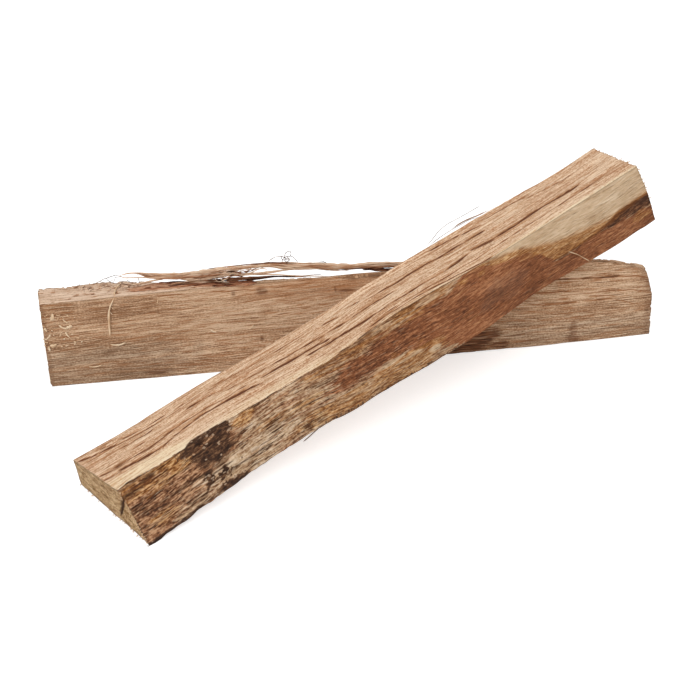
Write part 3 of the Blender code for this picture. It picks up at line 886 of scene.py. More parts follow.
def make_leaning_log():
    corners = packed_corners("front_log")
    log = LogSurface(
        "front_log",
        lean_axes(),
        corners[np.argmin(corners[:, 1])],  # the foot that stands on the floor is the bundle's nearest point
        (
            lambda across, up: LEAN_CUT_SKEW * across + LEAN_CUT_LEAN * up,
            lambda across, up: LOG_LENGTH + LEAN_EXTRA + 0.0 * across,
        ),
        LEAN_SIDES,
        "bark",
        WOOD_FIELDS + BARK_FIELDS,
    )
    shape_lean_top(log)
    shape_lean_bark(log)
    shape_plain_split(log, "heart", 701)
    shape_plain_split(log, "under", 731)
    material = np.zeros(log.along.shape, np.int32)
    material[:, log.columns["bark"]] = 1
    material[:, log.columns["top"]] = share_bark_over_ridge(log)
    mesh = log.mesh("front_log_wood", lean_end_shape, material, 2)
    split = split_wood(
        "leaning_split",
        tones=((174, 124, 88), (210, 168, 132), (226, 190, 157), (240, 211, 180)),
        pore_tones=((184, 132, 90), (104, 62, 40)),
        sap_tones=((218, 178, 136), (242, 220, 186)),
        stretch=1.0,
        weights=(0.5, 0.9, 0.3, 0.4, 1.2, 1.3),
        relief=0.6,
    )
    for made in (split, leaning_bark("leaning_bark"), sawn_end("leaning_end", 3.0)):
        mesh.materials.append(made)
    return log, mesh


# ---------------------------------------------------------------- the flat log

FLAT_LEFT_LEAN = -0.028  # the left cut leans out by this much a metre of height
FLAT_LEFT_SKEW = -0.045  # and falls back across the log
FLAT_WEAR_FROM = 0.030  # above this height the right end is worn back
FLAT_RIGHT_WEAR = -0.28  # by this much a metre of height
FLAT_SIDES = {
    "front": ((-0.90, -0.40), 126),
    "chamfer": ((-0.60, 0.80), 26),
    "back": ((0.45, 0.90), 62),
    "bottom": ((0.80, -0.60), 20),
}


def flat_foot():
    """The front foot of the left cut."""
    corners = packed_corners("back_log")
    low = corners[corners[:, 2] < 0.5 * MM]
    left = low[low[:, 0] < low[:, 0].min() + 6 * MM]
    return left[np.argmin(left[:, 1])]


def flat_end_shape(across, up, from_bark, at_far_end):
    """How many mm the wood at a sawn end is set back from the plain cut, and the strength of its cracks."""
    rough = 0.30 * (1.0 + mottled(across, up, 1.8, 2.2, 801))
    torn = ramp(mottled(across, up, 5, 3, 811 + at_far_end, 2), 0.05, 0.6)
    check = np.abs(up - 0.55 * across - 12 + 1.5 * noise(across / 7, 0.0, 815))
    crack = ramp(check, 0.8, 0.2) * ramp(across, 8, 20)
    return rough + (0.9 if at_far_end else 0.8) * torn + 1.5 * crack, crack


def flat_stains(along, share, across):
    """The dark knots, rubs and stained ends of the flat log's front."""
    stain = patch(along, share, (284, 0.16), (8.5, 0.10), 0.25, 871)
    stain = np.maximum(stain, patch(along, share, (274, 0.05), (13, 0.12), 0.25, 873))
    spots = (
        (295.5, 0.06, 6, 0.045, 1.0), (290, 0.20, 8, 0.075, 1.0), (144, 0.90, 4, 0.04, 0.65),
        (70, 0.07, 8, 0.03, 0.6), (346.5, 0.16, 2.5, 0.10, 0.60), (346, 0.05, 4.5, 0.035, 0.75),
        (124.5, 0.90, 1.2, 0.02, 0.7), (138.5, 0.36, 1.0, 0.035, 0.6), (191, 0.85, 0.8, 0.03, 0.7),
        (199, 0.83, 7, 0.012, 0.7),
    )
    stain = np.maximum(stain, patches(along, share, 0.45, 881, spots))
    edge = ramp(along, 4, 0.5) + ramp(along, 393, 399)
    stain = np.maximum(stain, 0.6 * edge * (0.7 + 0.4 * noise(along / 4, across / 3, 885)))
    return np.clip(stain, 0.0, 1.0)


def flat_bands(along, share):
    """Light and dark wisps along the flat log's front."""
    bands = 0.9 * stretch_of(along, 80, 110, 230, 260) - 0.5 * ramp(along, 85, 60)
    for k, (strength, half, places, shares) in enumerate(FLAT_WISPS, 889):
        near = stretch_of(along, places[0] - 8, places[0] + 12, places[-1] - 12, places[-1] + 8)
        centre = np.interp(along, places, shares) / 1000.0 + 0.012 * wandering(along, 16, k)
        bands = bands + strength * near * np.exp(-(((share - centre) / (half / 1000.0)) ** 2))
    return bands


def shape_flat_front(log):
    """Wavy fibres, short checks and stains on the flat log's front split face."""
    along, share, across = log.side("front")
    climb = np.interp(along, (0, 50, 200, 300, 400), (0.0, 1.0, 7.5, 9.0, 6.0))
    climb = climb * ramp(share, 0.0, 0.5)  # the grain climbs slowly towards the right
    place = across + 2.5 * mottled(along, across, 60, 25, 821, 2) - climb
    fibre = mottled(along, place, 34, 1.1, 831)
    swell = mottled(along, place, 70, 6, 841)
    right = ramp(along, 285, 310)
    checks = ramp(mottled(along, place, 17, 0.9, 851, 2), 0.44 - 0.10 * right, 0.60)
    checks = checks * ramp(mottled(along, place, 40, 9, 861, 2), -0.35, 0.25)
    faint = pore_field(log, "front", random_lines(90, 865, 30), 865)
    checks = np.clip(0.5 * checks + pore_field(log, "front", FLAT_LINES, 863) + 0.35 * faint, 0.0, 1.0)
    left_dust = 0.5 * patch(along, share, (30, 0.15), (70, 0.30), 0.3, 891)
    log.shape(
        "front",
        0.12 + 0.22 * fibre + (0.30 + 0.20 * right) * swell - (0.45 + 0.30 * right) * checks,
        place,
        stain=flat_stains(along, share, across),
        halo=0.7 * patch(along, share, (190, 0.95), (70, 0.20), 0.2, 887),
        dust=np.maximum(left_dust, 0.45 * ramp(along, 280, 310) * ramp(share, 0.45, 0.20)),
        pore=0.7 * checks,
        thread=0.25,
        tone=0.6 * swell + 0.2 * fibre + 1.3 * flat_bands(along, share),
    )


def shape_flat_chamfer(log):
    """The pale upper strip, rough where fibres were torn from it."""
    along, _, across = log.side("chamfer")
    fibre = mottled(along, across, 12, 0.9, 901)
    checks = ramp(mottled(along, across, 5, 0.8, 911, 2), 0.40, 0.60)
    sap = 0.85 * ramp(along, 135, 80) * (0.8 + 0.4 * fibre)
    tone = fibre + 0.6 * ramp(along, 250, 300)
    height = 0.10 + 0.28 * fibre - 0.5 * checks
    log.shape("chamfer", height, across, pore=0.7 * checks, tone=tone, sap=sap)


def shape_flat_back(log):
    """Long bark ridges between deep furrows on the far side."""
    along, _, across = log.side("back")
    place = across + 3 * mottled(along, across, 30, 18, 921, 2)
    furrow = ramp(np.abs(mottled(along, place, 38, 7.5, 931, 2)), 0.16, 0.03)
    cracks = ramp(np.abs(mottled(along, place, 11, 16, 941, 2)), 0.07, 0.02)
    height = 0.2 + 0.5 * mottled(along, across, 7, 3, 951) - 2.6 * furrow - cracks * (1.0 - furrow)
    log.shape("back", height, place, furrow=np.clip(furrow + 0.6 * cracks, 0.0, 1.0))


def sink_flat_edge(log):
    """Wears the upper edge lower from its middle on, where the torn bast hangs clear of it."""
    # The wear grows from one share of each side's width to the other, and covers the whole chamfer
    for name, from_share, to_share in (("front", 0.86, 1.0), ("chamfer", -1.0, 0.0), ("back", 0.30, 0.0)):
        along, share, _ = log.side(name)
        worn = (1.3 * ramp(along, 95, 120) + 1.2 * ramp(along, 185, 210)) * ramp(along, 256, 244)
        log.height[:, log.columns[name]] -= MM * worn * ramp(share, from_share, to_share)


def make_flat_log():
    log = LogSurface(
        "back_log",
        np.eye(3),
        flat_foot(),
        (
            lambda across, up: FLAT_LEFT_LEAN * up + FLAT_LEFT_SKEW * across,
            lambda across, up: LOG_LENGTH + FLAT_RIGHT_WEAR * np.maximum(0.0, up - FLAT_WEAR_FROM),
        ),
        FLAT_SIDES,
        "back",
        (*WOOD_FIELDS, "furrow"),
    )
    shape_flat_front(log)
    shape_flat_chamfer(log)
    shape_flat_back(log)
    sink_flat_edge(log)
    shape_plain_split(log, "bottom", 961)
    log.height[:, log.columns["bottom"]] = SKIN_INSET  # it lies on the floor
    material = np.zeros(log.along.shape, np.int32)
    along, share, _ = log.side("back")
    material[:, log.columns["back"]] = share > 0.05 + 0.03 * wandering(along, 6, 971)
    mesh = log.mesh("back_log_wood", flat_end_shape, material, 2)
    split = split_wood(
        "flat_split",
        tones=((132, 96, 68), (170, 131, 99), (194, 156, 122), (224, 192, 160)),
        pore_tones=((176, 120, 78), (96, 64, 44)),
        sap_tones=((204, 168, 140), (236, 208, 184)),
        stretch=1.2,
        weights=(0.45, 1.2, 0.35, 0.6, 0.9, 1.2),
        relief=0.45,
    )
    for made in (split, outer_bark("flat_bark"), sawn_end("flat_end", 9.0)):
        mesh.materials.append(made)
    return log, mesh


# ---------------------------------------------------------------- torn bast, fibres and crumbs

NET_DEPTH = 17.9 * MM  # the torn net stands this far behind the flat log's front
UPRIGHT = (0.0, 0.0, 1.0)


def unit(vectors):
    """The vectors made one long."""
    return vectors / (np.linalg.norm(vectors, axis=-1, keepdims=True) + 1e-12)


class Fibres:
    """Collects thin strands into one mesh. Routes are in the frame, and widths and thicknesses in mm."""

    def __init__(self):
        self.points, self.faces, self.grain, self.tones = [], [], [], []
        self.count = 0

    def strand(self, route, width, thickness, flat_side, seed, tone=0.0, sides=8, taper=0.2):
        """A flat strand along the route. flat_side is the direction that its width lies in."""
        route = np.asarray(route, float)
        tangent = unit(np.gradient(route, axis=0))
        wide = np.broadcast_to(np.asarray(flat_side, float), route.shape)
        wide = unit(wide - tangent * (wide * tangent).sum(axis=1, keepdims=True))
        thin = np.cross(wide, tangent)
        steps = np.linalg.norm(np.diff(route, axis=0), axis=1)
        along = np.concatenate([[0.0], np.cumsum(steps)])
        share = along / along[-1]
        ends = np.minimum(1.0, np.minimum(share, 1.0 - share) / taper + 0.12)
        angle = np.arange(sides) * math.tau / sides
        ragged = 1.0 + 0.22 * noise(along[:, None] / (3 * MM), angle * 1.3, seed)
        across = 0.5 * MM * (width * ends)[:, None] * ragged * np.cos(angle)
        deep = 0.5 * MM * (thickness * ends)[:, None] * ragged * np.sin(angle)
        ring = route[:, None] + wide[:, None] * across[:, :, None] + thin[:, None] * deep[:, :, None]
        last = (len(route) - 1) * sides
        caps = [list(range(sides)), [last + k for k in reversed(range(sides))]]
        self.faces += [[self.count + k for k in face] for face in grid_faces(len(route), sides) + caps]
        self.points.append(ring.reshape(-1, 3))
        kind = np.full(last + sides, 0.73 * (seed % 97))
        self.grain.append(np.stack([np.repeat(along, sides), across.ravel(), kind], axis=1))
        self.tones.append(np.full(last + sides, tone))
        self.count += last + sides

    def ribbon(self, points, seed, tone=0.0, depth=0.0, layers=0):
        """A strip of the torn net through (along, height, width) points, with finer strips over it."""
        rows = max(8, int((points[-1][0] - points[0][0]) / 1.5))
        along, height, width = smooth_rows(points, rows).T
        away = depth + 0.8 * noise(along / 25, 0.0, seed)
        self.strand(net_place(along, height, away), width, 0.5, UPRIGHT, seed, tone, taper=0.06)
        draw = np.random.default_rng(seed)
        for k in range(layers):
            first = draw.integers(0, rows // 2)
            last = draw.integers(first + rows // 4, rows)
            held = slice(first, last + 1)
            aside = draw.uniform(-0.42, 0.42) + 0.14 * noise(along / 12, 0.0, seed + k)
            route = net_place(along, height + aside * width, away - 0.25 - 0.12 * k)[held]
            wide = np.maximum(0.5, draw.uniform(0.18, 0.40) * width[held])
            shade = tone + draw.uniform(-1.9, 0.9)
            self.strand(route, wide, 0.4, UPRIGHT, seed + 5 * k + 1, shade, sides=6)

    def thread(self, route, thickness, seed, tone=0.0):
        """A round hair along the route."""
        self.strand(route, thickness, thickness, UPRIGHT, seed, tone, sides=5, taper=0.1)

    def chip(self, log, side, along, share, length, width, turn, seed, tone=0.0):
        """A flat chip that lies on a log, in mm. turn is its angle to the grain."""
        middle = log.place(side, along, share, 0.5)
        lengthwise = unit(log.place(side, along + 3, share) - log.place(side, along - 3, share))
        crosswise = unit(log.place(side, along, share + 0.08) - log.place(side, along, share - 0.08))
        forward = math.cos(turn) * lengthwise + math.sin(turn) * crosswise
        sideways = math.cos(turn) * crosswise - math.sin(turn) * lengthwise
        step = np.linspace(-1.0, 1.0, 8)[:, None]
        route = middle + length * MM * (0.5 * step * forward + 0.12 * step**2 * sideways)
        widths = width * (1.0 + 0.5 * noise(np.arange(8) * 0.9, 0.0, seed))
        self.strand(route, widths, 0.5, sideways, seed, tone, sides=5, taper=0.08)

    def piece(self, name, material, slot, replaced=()):
        mesh = boxed_mesh(name, np.concatenate(self.points), self.faces)
        store(mesh, "grain", np.concatenate(self.grain))
        store(mesh, "tone", np.concatenate(self.tones))
        mesh.materials.append(material)
        place_piece(name, mesh, replaced)


def net_place(along, height, away):
    """The place in the frame these mm along the flat log, above the floor and behind the net's plane."""
    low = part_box("back_log")[0]
    along, height, away = np.broadcast_arrays(along, height, away)
    return np.stack([low[0] + along * MM, low[1] + NET_DEPTH + away * MM, height * MM], axis=-1)


def place_piece(name, mesh, replaced=()):
    """Links a mesh as a piece that rides on the bundle's one body."""
    piece = bpy.data.objects.new(name, mesh)
    bpy.context.scene.collection.objects.link(piece)
    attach(piece, "root")
    for node in replaced:
        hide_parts(node)


def centreline(node, axis, bins, count):
    """The middle of a packed strip, from end to end along one axis."""
    corners = np.unique(np.round(packed_corners(node), 6), axis=0)
    places = corners[:, axis]
    edges = np.linspace(places.min(), places.max(), bins + 1)
    held = [corners[(places >= low) & (places <= high)] for low, high in zip(edges, edges[1:])]
    return smooth_rows([(part.min(axis=0) + part.max(axis=0)) / 2.0 for part in held if len(part)], count)


def make_upper_bast(bast):
    """The arching strip, the strands above and below it, and the fine fibres where the two arches meet."""
    upper = Fibres()
    upper.ribbon(
        [
            (52.5, 71.8, 0.6), (58, 73.4, 0.6), (63, 73.2, 0.8), (68, 72, 2), (72, 70.6, 3.6),
            (78, 69.4, 4), (86, 68.7, 4.3), (94, 68, 4.8), (102, 67.9, 5.8), (110, 67.8, 6.8),
            (118, 67.1, 5.4), (126, 66.4, 1.6),
        ],
        1001, 1.8, layers=9,
    )
    upper.ribbon(
        [
            (97, 69.6, 1.2), (106, 70.6, 2.8), (115, 70.9, 2.6), (130, 71.2, 2.4), (140, 71.3, 2.3),
            (150, 70.9, 3.6), (160, 69, 5.2), (175, 67.1, 5.4), (195, 65.2, 5), (211, 64.4, 4.8),
            (224, 63.6, 4.2), (248, 62, 3),
        ],
        1011, 1.7, depth=-0.4, layers=14,
    )
    upper.ribbon([(109, 72, 0.5), (124, 72, 0.7), (142, 72.6, 0.7), (158, 71.5, 0.5)], 1021, -0.9, -0.8)
    upper.ribbon([(138, 72.4, 0.6), (150, 73, 0.7), (168, 70.4, 0.6), (186, 67.8, 0.5)], 1023, -0.5, -0.8)
    upper.ribbon([(194, 63.6, 0.8), (206, 63.4, 1.5), (218, 62.6, 1.8), (232, 61.8, 1.2)], 1025, -0.5, -0.7)
    points = [(209, 60.9, 0.6), (214, 61.2, 1.9), (220, 60.6, 2.6), (227, 59.8, 2.4), (236, 59.4, 1.4)]
    upper.ribbon(points, 1027, -1.4)
    points = [(94, 66.4, 1.6), (104, 66.6, 2.6), (114, 67.2, 2.4), (124, 68, 1.6), (133, 69, 0.8)]
    upper.ribbon(points, 1029, 0.6, layers=4)
    points = [(90, 66.2, 1.2), (95, 65.4, 2.4), (101, 64.8, 3), (110, 64.8, 2.4), (118, 65, 1.4)]
    upper.ribbon(points, 1033, 1.5, layers=5)
    draw = np.random.default_rng(1031)
    for k in range(46):
        along = draw.uniform(96, 132) + np.array((0.0, 0.3, 0.7, 1.0)) * draw.uniform(5, 16)
        height = np.interp(along, (96, 120, 150, 172), (66.0, 66.8, 67.5, 65.5)) + draw.uniform(-2.6, 2.6)
        height = height + draw.normal(0.0, 0.9, 4)
        route = net_place(*smooth_rows(np.column_stack([along, height]), 16).T, draw.uniform(-1.5, 1.0))
        upper.thread(route, draw.uniform(0.35, 0.75), 1032 + k, draw.uniform(-1.4, 2.4))
    upper.piece("bast_upper", bast, "torn_bast", ["strip_upper"])


def make_net(log):
    """The torn net of bast that arches over the flat log. Its points are (along, height, width) in mm."""
    tones = ((58, 32, 20), (116, 68, 42), (172, 122, 88), (206, 166, 134), (230, 202, 174))
    bast = fibre_material("bast", *tones)
    make_upper_bast(bast)

    left = Fibres()
    points = [(53, 71.7, 0.4), (56, 69.8, 0.8), (60, 69.5, 0.8), (68, 69.3, 1)]
    left.ribbon(points + [(73, 68.6, 1.2), (77, 67.9, 1)], 1101, 0.9)
    left.ribbon([(60, 64.1, 0.6), (65, 64.7, 1), (70, 65.6, 1.4), (75, 66.6, 1.3), (82, 66.9, 0.8)], 1103, 1)
    left.piece("bast_left", bast, "torn_bast", ["strip_left"])

    middle = Fibres()
    points = [(114, 65.9, 1.7), (123, 65.9, 1.9), (135, 65.2, 2), (146, 65.3, 2)]
    middle.ribbon(points + [(157, 66, 1.5), (167, 65.8, 1)], 1201, 1.7, layers=4)
    points = [(120, 64.8, 0.8), (135, 64.5, 1), (150, 63.5, 1), (166, 61, 0.8), (187, 58.3, 0.6)]
    middle.ribbon(points, 1203, 1.2)
    middle.ribbon([(163, 59.9, 0.3), (175, 59.9, 0.4), (183, 59.7, 0.3)], 1205, -1.2)
    middle.piece("bast_middle", bast, "torn_bast", ["strip_middle"])

    lower = Fibres()
    points = [(106, 62.9, 1), (119, 62.7, 2.2), (130, 62.2, 2.8), (141, 61.2, 2.2)]
    lower.ribbon(points + [(152, 61, 1.3), (174, 59.2, 0.5)], 1301, -0.9, layers=4)
    points = [(84, 61.6, 1), (90, 61.9, 2.2), (96, 61.8, 2.8), (103, 61.7, 2.8)]
    lower.ribbon(points + [(111, 61.6, 2.2), (119, 61.8, 1.4)], 1305, 0.7, layers=5)
    points = [(97, 64.7, 1.2), (105, 63.7, 1.9), (111, 62.6, 2.2), (117, 61, 1.8), (124, 59.4, 1)]
    lower.ribbon(points, 1303, 0.9, layers=2)
    lower.piece("bast_lower", bast, "dark_bast", ["strip_lower"])
    make_sheet(log)
    make_net_threads(log)


def make_sheet(log):
    """Torn inner bark that still lies on the flat log's upper edge, tan at its left and then red-brown."""
    red = fibre_material("bast_red", (60, 34, 22), (114, 65, 40), (160, 104, 72), (202, 156, 124))
    sheet = Fibres()
    draw = np.random.default_rng(1401)
    for k in range(70):
        start, length = draw.uniform(56, 130), draw.uniform(10, 30)
        along = np.linspace(start, min(start + length, 142.0), 14)
        middle = np.interp(along, (56, 68, 80, 92, 108, 142), (0.32, 0.40, 0.54, 0.56, 0.52, 0.46))
        reach = np.interp(along, (56, 68, 80, 92, 108, 142), (0.14, 0.24, 0.36, 0.42, 0.42, 0.36))
        share = np.clip(middle + reach * draw.uniform(-1.0, 1.0), 0.04, 0.98)
        route = [log.place("chamfer", a, b, draw.uniform(0.1, 0.7)) for a, b in zip(along, share)]
        shade = np.interp(start, (56, 70, 82, 96, 112, 130), (1.8, 1.2, 0.2, 0.0, -0.5, -0.3))
        shade += draw.uniform(-1.2, 1.2) - 0.9 * (share.mean() > 0.72)
        wide = draw.uniform(0.8, 2.0)
        sheet.strand(smooth_rows(route[::3], 20), wide, 0.5, (0.0, 1.0, 0.6), 1410 + k, shade, sides=6)
    sheet.piece("bast_sheet", red, "torn_bast")


def make_net_threads(log):
    """Single hairs round the net, through (along, height) points, and the hairs of the torn edge by it."""
    threads = Fibres()
    for k, points in enumerate(
        (
            [(35, 66.4), (40.5, 68.8), (44, 70.7), (49, 71.8), (53.5, 71.9)],
            [(45, 70.2), (46.5, 68.2), (49.5, 66.7), (54.5, 65.4), (60.5, 64.3)],
            [(64.5, 69.5), (65.4, 67.3), (65.6, 64)],
            [(57.5, 69), (59.5, 66.6), (61.5, 65.2)],
            [(50, 70.5), (55, 71)],
            [(148.5, 73.6), (150.3, 75.1), (152.7, 76.3), (156.7, 76.4), (159.1, 74.8), (161.1, 73.1)],
            [(156.7, 76.9), (157.1, 74), (159.1, 73.3), (161.1, 74.1), (161.9, 71.8)],
            [
                (159.1, 72), (159, 76.7), (160.4, 78.9), (162.4, 79.4),
                (163, 77.2), (161.6, 75.9), (159.2, 76.6),
            ],
            [(162, 75.9), (164.4, 75.2), (165.9, 73.2), (167.3, 71.2)],
            [(157, 71.5), (158, 74.5), (160.5, 75.5), (162, 73.5), (160.5, 72.2), (158.5, 73)],
            [(181, 70.4), (183.5, 70), (186, 68.8)],
        ),
        1500,
    ):
        along, height = smooth_rows(points, 24).T
        threads.thread(net_place(along, height, 0.8 * noise(along / 3, height / 3, k)), 0.42, k, -1.0)
    draw = np.random.default_rng(1520)
    for k in range(40):
        along, share = draw.uniform(24, 66), draw.uniform(0.55, 1.0)
        start = log.place("chamfer", along, share, 0.1)
        rise = MM * np.array((draw.uniform(-2.0, 3.0), draw.uniform(-1.5, 1.0), draw.uniform(0.3, 2.0)))
        along = along + draw.uniform(-3.0, 5.0)
        end = log.place("chamfer", along, min(1.0, share + draw.uniform(-0.3, 0.3)), 0.2)
        route = smooth_rows([start, (start + end) / 2.0 + rise, end], 12)
        threads.thread(route, draw.uniform(0.22, 0.42), 1530 + k, draw.uniform(-0.7, 2.6))
    hair = fibre_material("bast_hair", (88, 62, 48), (150, 118, 96), (214, 184, 158))
    threads.piece("bast_threads", hair, "torn_bast")


def make_slivers(pale):
    """The splinters that were packed as parts of their own."""
    hanging = Fibres()
    width = np.interp(np.linspace(0, 1, 30), (0, 0.5, 1), (1.2, 1.6, 0.7))
    hanging.strand(centreline("splinter_hanging", 2, 10, 30), width, 0.6, (1.0, 0.2, 0.1), 1601, 0.2)
    hanging.piece("splinter_hanging_fibre", pale, "pale_sliver", ["splinter_hanging"])
    front = Fibres()
    front.strand(centreline("sliver_front", 0, 8, 24), 0.9, 0.5, (0.0, 0.3, 1.0), 1611)
    brown = fibre_material("sliver_brown", (120, 86, 62), (164, 126, 98), (200, 166, 138))
    front.piece("sliver_front_fibre", brown, "pale_sliver", ["sliver_front"])


def make_flat_crumbs(log, pale):
    """Chips and splinters on the flat log: a few listed ones, and small ones strewn near its left end."""
    crumbs = Fibres()
    # Along the log, share up the face, length, width (mm), turn (degrees), tone
    chips = (
        (8, 0.84, 5.0, 2.2, 75, 0.8), (12.5, 0.71, 6.0, 1.0, -35, 1.0), (15, 0.61, 5.0, 1.0, -60, 0.8),
        (17, 0.71, 3.8, 2.0, 15, 1.2), (15, 0.78, 4.5, 0.9, -45, 0.6), (3, 0.61, 4.0, 1.6, 50, 1.2),
        (5.5, 0.50, 4.4, 2.6, 10, 0.2), (2, 0.47, 3.4, 1.3, 80, 0.6), (1.5, 0.55, 2.6, 1.2, 20, 0.6),
        (1.5, 0.70, 2.8, 1.4, 60, 0.8), (46, 0.87, 2.6, 0.6, -50, 0.0), (46, 0.44, 10.0, 0.9, 2, 0.4),
        (76, 0.90, 2.4, 0.6, 70, 0.2), (108, 0.49, 4.5, 0.7, -30, 0.8), (133, 0.50, 5.0, 0.7, 40, 0.6),
        (178, 0.75, 5.0, 0.5, 85, 0.6), (30, 0.20, 9.0, 0.8, 2, 0.6), (44.5, 0.83, 5.0, 0.6, -70, 0.6),
    )
    for k, (along, share, length, width, turn, tone) in enumerate(chips, 1701):
        crumbs.chip(log, "front", along, share, length, width, math.radians(turn), k, tone)
    climb = log.places("chamfer", (48.5, 0.02, 0.5), (50, 0.35, 0.5), (52, 0.65, 0.5), (54.5, 0.9, 0.5))
    crumbs.thread(smooth_rows(climb, 16), 1.0, 1749, 0.6)
    draw = np.random.default_rng(1750)
    for k in range(42):
        along, share = 24.0 * draw.uniform(0.04, 1.0) ** 1.4, draw.uniform(0.48, 0.88)
        length, width, turn = draw.uniform(0.8, 2.4), draw.uniform(0.5, 1.0), draw.uniform(-1.6, 1.6)
        crumbs.chip(log, "front", along, share, length, width, turn, 1760 + k, draw.uniform(-1.2, 1.0))
    crumbs.piece("flat_log_crumbs", pale, "pale_sliver")


def make_fringe(log, name, sides, row, count, longest, seed, material):
    """Short torn fibres, up to longest in mm, that stand out along the rim of a sawn end."""
    fringe = Fibres()
    draw = np.random.default_rng(seed)
    outward = -log.axes[0] if row == 0 else log.axes[0]
    columns = np.concatenate([np.arange(log.along.shape[1])[log.columns[side]] for side in sides])
    for k in range(count):
        column = draw.choice(columns)
        normal = MM * log.outward[row, column]
        start = log.foot + (log.points[row, column] - 0.4 * normal) @ log.axes
        sideways = MM * draw.normal(0.0, 0.5, 3)
        reach = MM * longest * draw.uniform(0.3, 1.0)
        end = start + reach * outward + sideways + draw.uniform(-0.2, 0.9) * normal @ log.axes
        route = smooth_rows([start, (start + end) / 2.0 + 0.3 * sideways[::-1], end], 8)
        width = draw.uniform(0.4, 1.0)
        tone = draw.uniform(-1.6, 0.2)
        fringe.strand(route, width, 0.6 * width, UPRIGHT, seed + k, tone, sides=5, taper=0.5)
    fringe.piece(name, material, "pale_sliver")


def make_lean_hairs(log, pale):
    """Curled hairs that stand off the leaning log, a torn fibre under its bark and a splinter on it."""
    hair = Fibres()
    upward = MM * np.array((0.0, 0.35, 0.94)) @ log.axes
    long_hair = ((262, 0), (264, 1.6), (268, 3.4), (274, 5.6), (281, 7), (290, 6.6), (299, 6.4), (309, 6.4))
    short_hair = ((264, 0.2), (270, 1.2), (279, 2.0), (287, 2.0), (296, 1.6), (304, 0.2))
    for seed, tone, points in ((1801, -0.6, long_hair), (1802, -0.4, short_hair)):
        route = [log.place("heart", along, 0.0) + lift * upward for along, lift in points]
        hair.thread(smooth_rows(route, 40), 0.40, seed, tone)
    torn = log.places("bark", (127, 0.03, 0.0), (120, 0.0, 0.8), (112, 0.0, 1.8))
    hair.thread(smooth_rows(torn, 20), 0.70, 1811, -1.6)
    brown = fibre_material("lean_hair", (110, 92, 80), (150, 128, 110), (190, 168, 148))
    hair.piece("front_log_hair", brown, "torn_bast")
    splinters = Fibres()
    route = log.places("bark", (329, 0.37, 0.5), (334, 0.24, 0.5), (338, 0.14, 0.5), (342, 0.01, 0.5))
    splinters.thread(smooth_rows(route, 24), 0.55, 1821)
    splinters.piece("front_log_splinters", pale, "pale_sliver")


# ---------------------------------------------------------------- stage, light and camera

FLOOR_GLOW = 0.60  # added where the camera sees the floor, which keeps its soft shadow
ROOM_LIGHT = 0.50
CAMERA_AZIMUTH = math.radians(-8.708)
CAMERA_ELEVATION = math.radians(35.0)
CAMERA_DISTANCE = 1.20
CAMERA_LENS = 94.745  # mm on a 36 mm sensor
CAMERA_TARGET = Vector((-0.00657, 0.07148, 0.0))  # on the floor behind the flat log's front foot


def seen_strength(tree, socket, added, base):
    """Sets a light's strength to base, and to base + added where the camera sees it directly."""
    path = tree.nodes.new("ShaderNodeLightPath")
    strength = tree.nodes.new("ShaderNodeMath")
    strength.operation = "MULTIPLY_ADD"
    strength.inputs[1].default_value = added
    strength.inputs[2].default_value = base
    tree.links.new(path.outputs["Is Camera Ray"], strength.inputs[0])
    tree.links.new(strength.outputs[0], socket)


def make_stage():
    """A plain pale floor that keeps the soft shadow."""
    bpy.ops.mesh.primitive_plane_add(size=8.0)
    floor = bpy.context.object
    floor.name = "floor"
    material = bpy.data.materials.new("floor")
    material.use_nodes = True
    tree = material.node_tree
    shader = tree.nodes["Principled BSDF"]
    shader.inputs["Base Color"].default_value = (0.80, 0.80, 0.80, 1.0)
    shader.inputs["Roughness"].default_value = 0.9
    shader.inputs["Specular IOR Level"].default_value = 0.0
    glow = tree.nodes.new("ShaderNodeEmission")
    seen_strength(tree, glow.inputs["Strength"], FLOOR_GLOW, 0.0)
    both = tree.nodes.new("ShaderNodeAddShader")
    tree.links.new(shader.outputs["BSDF"], both.inputs[0])
    tree.links.new(glow.outputs["Emission"], both.inputs[1])
    tree.links.new(both.outputs["Shader"], tree.nodes["Material Output"].inputs["Surface"])
    floor.data.materials.append(material)


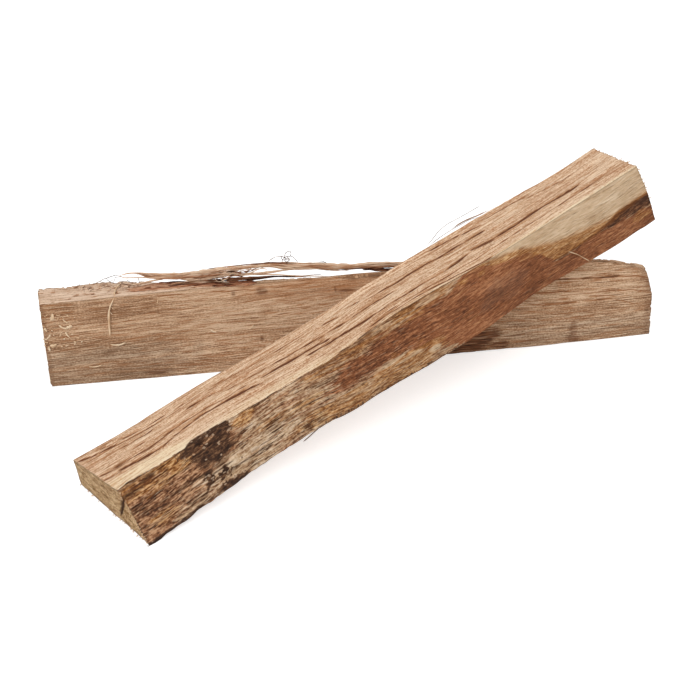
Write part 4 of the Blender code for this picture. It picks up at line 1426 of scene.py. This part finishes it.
def make_light():
    """A pale room, white where the camera sees it, and two large soft lamps at a plain level."""
    world = bpy.data.worlds.new("studio")
    bpy.context.scene.world = world
    world.use_nodes = True
    background = world.node_tree.nodes["Background"]
    background.inputs["Color"].default_value = (1.0, 1.0, 1.0, 1.0)
    seen_strength(world.node_tree, background.inputs["Strength"], 1.0 - ROOM_LIGHT, ROOM_LIGHT)
    for name, place, size, power in (
        ("key", (-0.8, -1.5, 1.5), 1.4, 24.0),
        ("top", (0.3, 0.4, 2.0), 1.6, 10.0),
    ):
        data = bpy.data.lights.new(name, "AREA")
        data.shape = "DISK"
        data.size = size
        data.energy = power
        lamp = bpy.data.objects.new(name, data)
        lamp.location = place
        lamp.rotation_euler = (-Vector(place)).to_track_quat("-Z", "Y").to_euler()
        bpy.context.scene.collection.objects.link(lamp)


def make_camera():
    data = bpy.data.cameras.new("camera")
    data.lens = CAMERA_LENS
    data.sensor_width = 36.0
    data.clip_start = 0.05
    camera = bpy.data.objects.new("camera", data)
    level = math.cos(CAMERA_ELEVATION)
    across, away = math.sin(CAMERA_AZIMUTH) * level, -math.cos(CAMERA_AZIMUTH) * level
    back = Vector((across, away, math.sin(CAMERA_ELEVATION)))
    camera.location = CAMERA_TARGET + CAMERA_DISTANCE * back
    camera.rotation_euler = (-back).to_track_quat("-Z", "Y").to_euler()
    bpy.context.scene.collection.objects.link(camera)
    bpy.context.scene.camera = camera


make_camera()
leaning, leaning_mesh = make_leaning_log()
place_piece("front_log_wood", leaning_mesh, ["front_log"])
flat, flat_mesh = make_flat_log()
place_piece("back_log_wood", flat_mesh, ["back_log"])
make_net(flat)
pale_sliver = fibre_material("sliver_pale", (186, 142, 104), (224, 190, 152), (242, 220, 190))
make_slivers(pale_sliver)
make_flat_crumbs(flat, pale_sliver)
make_lean_hairs(leaning, pale_sliver)
make_fringe(leaning, "front_log_near_fringe", ("bark", "under"), 0, 90, 1.6, 1901, pale_sliver)
make_fringe(leaning, "front_log_far_fringe", ("top", "bark"), -1, 50, 0.9, 1903, pale_sliver)
make_stage()
make_light()
bpy.context.scene.view_settings.view_transform = "Standard"
